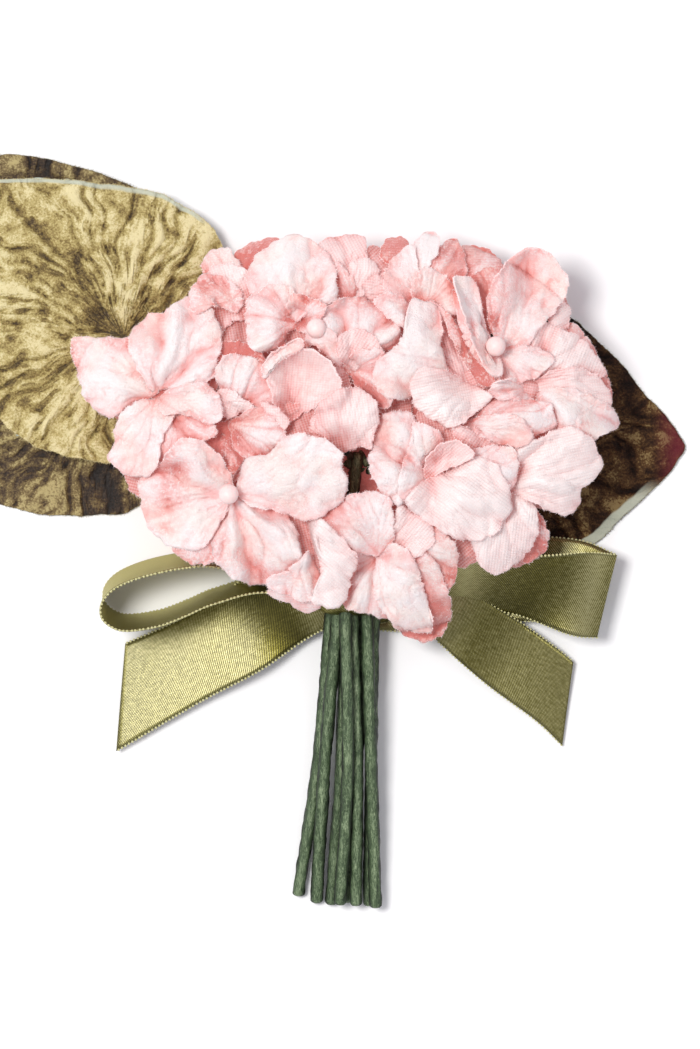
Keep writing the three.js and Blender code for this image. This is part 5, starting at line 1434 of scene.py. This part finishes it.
# Stations of each strip: its middle, the direction across it, and the length of its cut across as a
# share of the width, less where the knot gathers it and more where it is cut aslant.
ribbonStrips = dict(
    leftLoop=[((x, y, leftLoopHeight), leftLoopLean, 1.0) for x, y in leftLoop],
    leftTail=[((0, -12.5, 7.2), (0, 1, -0.1), 0.6), ((-11.5, -14.5, 5.4), (-0.5, 1, 0.25), 1.0),
              ((-21.3, -20.9, 3.8), (-0.55, 0.85, -0.12), 1.0),
              ((-31, -26.1, 2.5), (-0.3, 0.9, -0.115), 1.0),
              ((-43.5, -32.8, 1.4), (0.08, 1, -0.085), 1.28)],
    rightLowLayer=[((4, -12, 1.5), (0, 1, 0), 1.0), ((17, -12.3, 1.7), (0, 1, 0), 1.0),
                   ((30.3, -10.4, 2.6), (-0.05, 1, 0), 1.0), ((42.1, -10.9, 4.2), (0.1, 1, 0), 1.0),
                   ((48.4, -13.5, 7.2), (0.24, 1, 0), 1.0)],
    rightHighLayer=[((5, -14, 7.5), (2, 8, 9), 1.0), ((18, -11, 9.2), (0, 9, 12), 1.0),
                    ((32.7, -11.3, 10), (4, 9, 9), 1.0), ((42.8, -13, 10), (2.4, 12, 2.6), 1.0),
                    ((48.4, -13.5, 7.7), (3.6, 15, 0.2), 1.0)],
    rightTail=[((3.5, -10.5, 7), (0.4, 1, 0), 0.5), ((14, -13.3, 5.8), (0.55, 1, 0.3), 0.68),
               ((23.8, -20.6, 4.2), (0.49, 1, 0.14), 0.78), ((29.9, -25, 3), (0.53, 1, 0.08), 0.84),
               ((37.2, -30.3, 2), (0.26, 1, 0.06), 0.9), ((41.3, -34, 1.3), (0.13, 1, 0.06), 1.0)],
)
# Painted highlight and shade on each strip's satin, at distances along it: above 0 the satin is painted
# brighter, below 0 darker.
stripPaintedSheen = dict(
    leftLoop=[(0, 1.0)], leftTail=[(3, 0.3), (9, 0.25), (14, -0.4), (17, -0.35), (22, 0.1), (28, 0.2)],
    rightLowLayer=[(0, 0.1)],
    rightHighLayer=[(10, -0.4), (17, 0.6), (23, -0.1), (30, -0.3), (36, 0.0), (41, 0.6), (45, 0.1)],
    rightTail=[(8, -0.2), (16, 0.35), (24, -0.1), (32, 0.15)],
)
# The band round the stems: a rounded block, pinched between its turns, that ends at `lowest`.
knot = dict(cells=(64, 40), centre=(1, -11.9, 8.3), half=(8.6, 5.3, 8.1), wraps=4, rounding=0.62,
            pinch=0.05, lowest=0.15)


def stripEdges(stations, count):
    middles = smoothCurve([at for at, _, _ in stations], count)
    reaches = [Vector(across).normalized() * ribbonStyle["width"] * slant for _, across, slant in stations]
    return middles, smoothCurve(reaches, count)


def stripMesh(stations, paintedSheen):
    # one strip of the ribbon and its length, cupped and waved a little once clear of the knot
    length = distances(smoothCurve([at for at, _, _ in stations], 60))[-1]
    alongCells = int(length / ribbonStyle["cell"])
    middles, reaches = stripEdges(stations, alongCells + 1)
    travelled = distances(middles)
    waveHeight, waveAlong, waveAcross = ribbonStyle["wave"]
    bm = gridMesh(ribbonStyle["acrossCells"], alongCells)
    uv = []
    for vertex in bm.verts:
        across, i = vertex.co.x / 2, round((vertex.co.y + 1) / 2 * alongCells)
        ahead = middles[min(i + 1, alongCells)] - middles[max(i - 1, 0)]
        proud = ahead.cross(reaches[i]).normalized() * ribbonStyle["cup"]
        wave = waveHeight * noise.noise(Vector((travelled[i] / waveAlong, across * waveAcross, length)))
        cupped = smoothStep(0.0, ribbonStyle["flatStart"], travelled[i])
        bow = (4 * across * across - 0.4) * 0.7 * cupped + wave
        vertex.co = toFrame(middles[i] + reaches[i] * across + proud * bow)
        uv.append((across * ribbonStyle["width"] * mm, travelled[i] * mm))
    setUv(bm, uv)
    setField(bm, "edge", [abs(u) / (ribbonStyle["width"] * mm / 2) for u, _ in uv])
    # painted highlight and shade along the strip
    setField(bm, "tint", np.interp([v / mm for _, v in uv], *zip(*paintedSheen)))
    return bm, length


def beadsMesh(stations):
    # the selvedge's little loops of thread, as a row of beads along both edges
    middles, reaches = stripEdges(stations, ribbonStyle["beadStations"])
    bm = bmesh.new()
    for sign in (-0.5, 0.5):
        left = 0.0
        previous = middles[0] + reaches[0] * sign
        for middle, reach in zip(middles, reaches):
            here = middle + reach * sign
            left -= (here - previous).length
            previous = here
            if left > 0:
                continue
            left += ribbonStyle["beadPitch"]
            made = bmesh.ops.create_icosphere(bm, subdivisions=1, radius=ribbonStyle["beadSize"] * mm)
            bmesh.ops.translate(bm, verts=made["verts"], vec=toFrame(here))
    return bm


def satinFinish():
    finish = Finish("ribbonSatin", Roughness=0.36, Metallic=1.0, Coat_Weight=0.28, Coat_Roughness=0.32,
                    Specular_Tint=(0.62, 0.58, 0.28, 1.0))
    uv = finish.uv()
    across, along = finish.acrossAlong(uv)
    pitch = math.tau / (0.44 * mm)
    ribs = (along * pitch + across * pitch * 0.8).sine()
    # painted sparkle: the glint grain brightens small spots of the satin's colour; the ribs are the weave
    glint = finish.grain(finish.stretched(uv, (1.0, 0.35, 1.0)), 0.5, detail=3, roughness=0.75)
    edge = finish.attribute("edge")
    # Painted highlight and shade: the strips' painted sheen brightens or darkens the satin's colour.
    light = (glint + ribs * 0.3 + finish.attribute("tint") * 0.8 - 0.06).clamped()
    colour = finish.ramp(light, (0.0, (0.046, 0.040, 0.006)), (0.5, (0.150, 0.133, 0.026)),
                         (1.0, (0.50, 0.465, 0.23)))
    colour = finish.mix(edge.above(0.95) * 0.5, colour, (0.20, 0.19, 0.08))
    finish.set(Base_Color=colour, Normal=finish.bump(ribs * 0.6 + glint * 1.2, 0.035, 0.9))
    return finish.material


def threadFinish():
    finish = Finish("ribbonThread", Roughness=0.5)
    tint = finish.grain(finish.place(), 0.6)
    finish.set(Base_Color=finish.mix(tint, (0.42, 0.40, 0.15), (0.75, 0.72, 0.42)))
    return finish.material


def knotMesh():
    bm = bmesh.new()
    around, along = knot["cells"]
    bmesh.ops.create_uvsphere(bm, u_segments=around, v_segments=along, radius=1.0)
    (cx, cy, cz), (hx, hy, hz) = knot["centre"], knot["half"]
    for vertex in bm.verts:
        x, y, z = vertex.co
        x, y, z = [math.copysign(abs(value) ** knot["rounding"], value) for value in (x, y, z)]
        pinch = 1 - knot["pinch"] * abs(math.sin(knot["wraps"] * math.pi * (y + 1) / 2)) ** 0.5
        height = max(cz + hz * z * pinch, knot["lowest"])
        vertex.co = toFrame((cx + hx * x * pinch, cy + hy * y, height))
    setUv(bm, [(vertex.co.x, vertex.co.y) for vertex in bm.verts])
    for field in ("edge", "tint"):
        setField(bm, field, [0.0] * len(bm.verts))
    return bm


def makeRibbon():
    satin, thread = satinFinish(), threadFinish()
    strips = [stripMesh(stations, stripPaintedSheen[name]) for name, stations in ribbonStrips.items()]
    bow = finishMesh("ribbonBow", [strip for strip, _ in strips], [satin])
    thicken(bow, ribbonStyle["thickness"])
    ride(bow, "ribbon_satin", "ribbon_bow")
    band = finishMesh("ribbonKnot", [knotMesh()], [satin])
    ride(band, "ribbon_satin")
    beads = finishMesh("ribbonSelvedge", [beadsMesh(s) for s in ribbonStrips.values()], [thread])
    ride(beads, "ribbon_satin")
    flatLength = sum(length for _, length in strips)
    flatLength * mm
    print("ribbon:", round(flatLength), "mm")


# Paper floor, soft daylight and a camera straight above, in millimetres, but the sizes of the floor
# and the lamp are metres.
studio = dict(
    floorSize=3.0,
    cameraHeight=1000.0,
    frameHeight=199.31,
    sensor=36.0,
    worldStrength=0.62,
    worldColour=(0.95, 0.94, 1.0),
    keyPower=9.2,
    keyPlace=(-330, 130, 1050),
    keySize=0.3,
    keyColour=(1.0, 0.985, 0.96),
)


def makeFloor():
    finish = Finish("floorPaper", Roughness=0.9)
    patches = finish.grain(finish.place(), 40.0)
    finish.set(Base_Color=finish.mix(patches, (0.92, 0.92, 0.93), (0.94, 0.94, 0.945)))
    bm = bmesh.new()
    bmesh.ops.create_grid(bm, x_segments=1, y_segments=1, size=studio["floorSize"] / 2)
    floor = finishMesh("floor", [bm], [finish.material])
    print("floor done")


def makeLight():
    world = bpy.data.worlds.new("studio")
    bpy.context.scene.world = world
    world.use_nodes = True
    background = world.node_tree.nodes["Background"]
    background.inputs["Color"].default_value = (*studio["worldColour"], 1)
    background.inputs["Strength"].default_value = studio["worldStrength"]
    key = bpy.data.lights.new("window", "AREA")
    key.energy = studio["keyPower"]
    key.size = studio["keySize"]
    key.color = studio["keyColour"]
    lamp = bpy.data.objects.new("window", key)
    lamp.location = Vector(studio["keyPlace"]) * mm
    lamp.rotation_euler = (-lamp.location).to_track_quat("-Z", "Y").to_euler()
    bpy.context.scene.collection.objects.link(lamp)
    print("light done")


def makeCamera():
    data = bpy.data.cameras.new("camera")
    data.sensor_fit = "AUTO"
    data.sensor_width = studio["sensor"]
    data.lens = studio["sensor"] * studio["cameraHeight"] / studio["frameHeight"]
    camera = bpy.data.objects.new("camera", data)
    camera.location = toFrame((0, 0, studio["cameraHeight"]))
    bpy.context.scene.collection.objects.link(camera)
    bpy.context.scene.camera = camera
    print("camera done")


makeHead()
makePips()
wrapPaper = wrapFinish()
makeStems(wrapPaper)
makeInnerWires(wrapPaper)
makeLeaves(wrapPaper)
makeRibbon()
makeFloor()
makeLight()
makeCamera()
bpy.context.scene.view_settings.view_transform = "Standard"
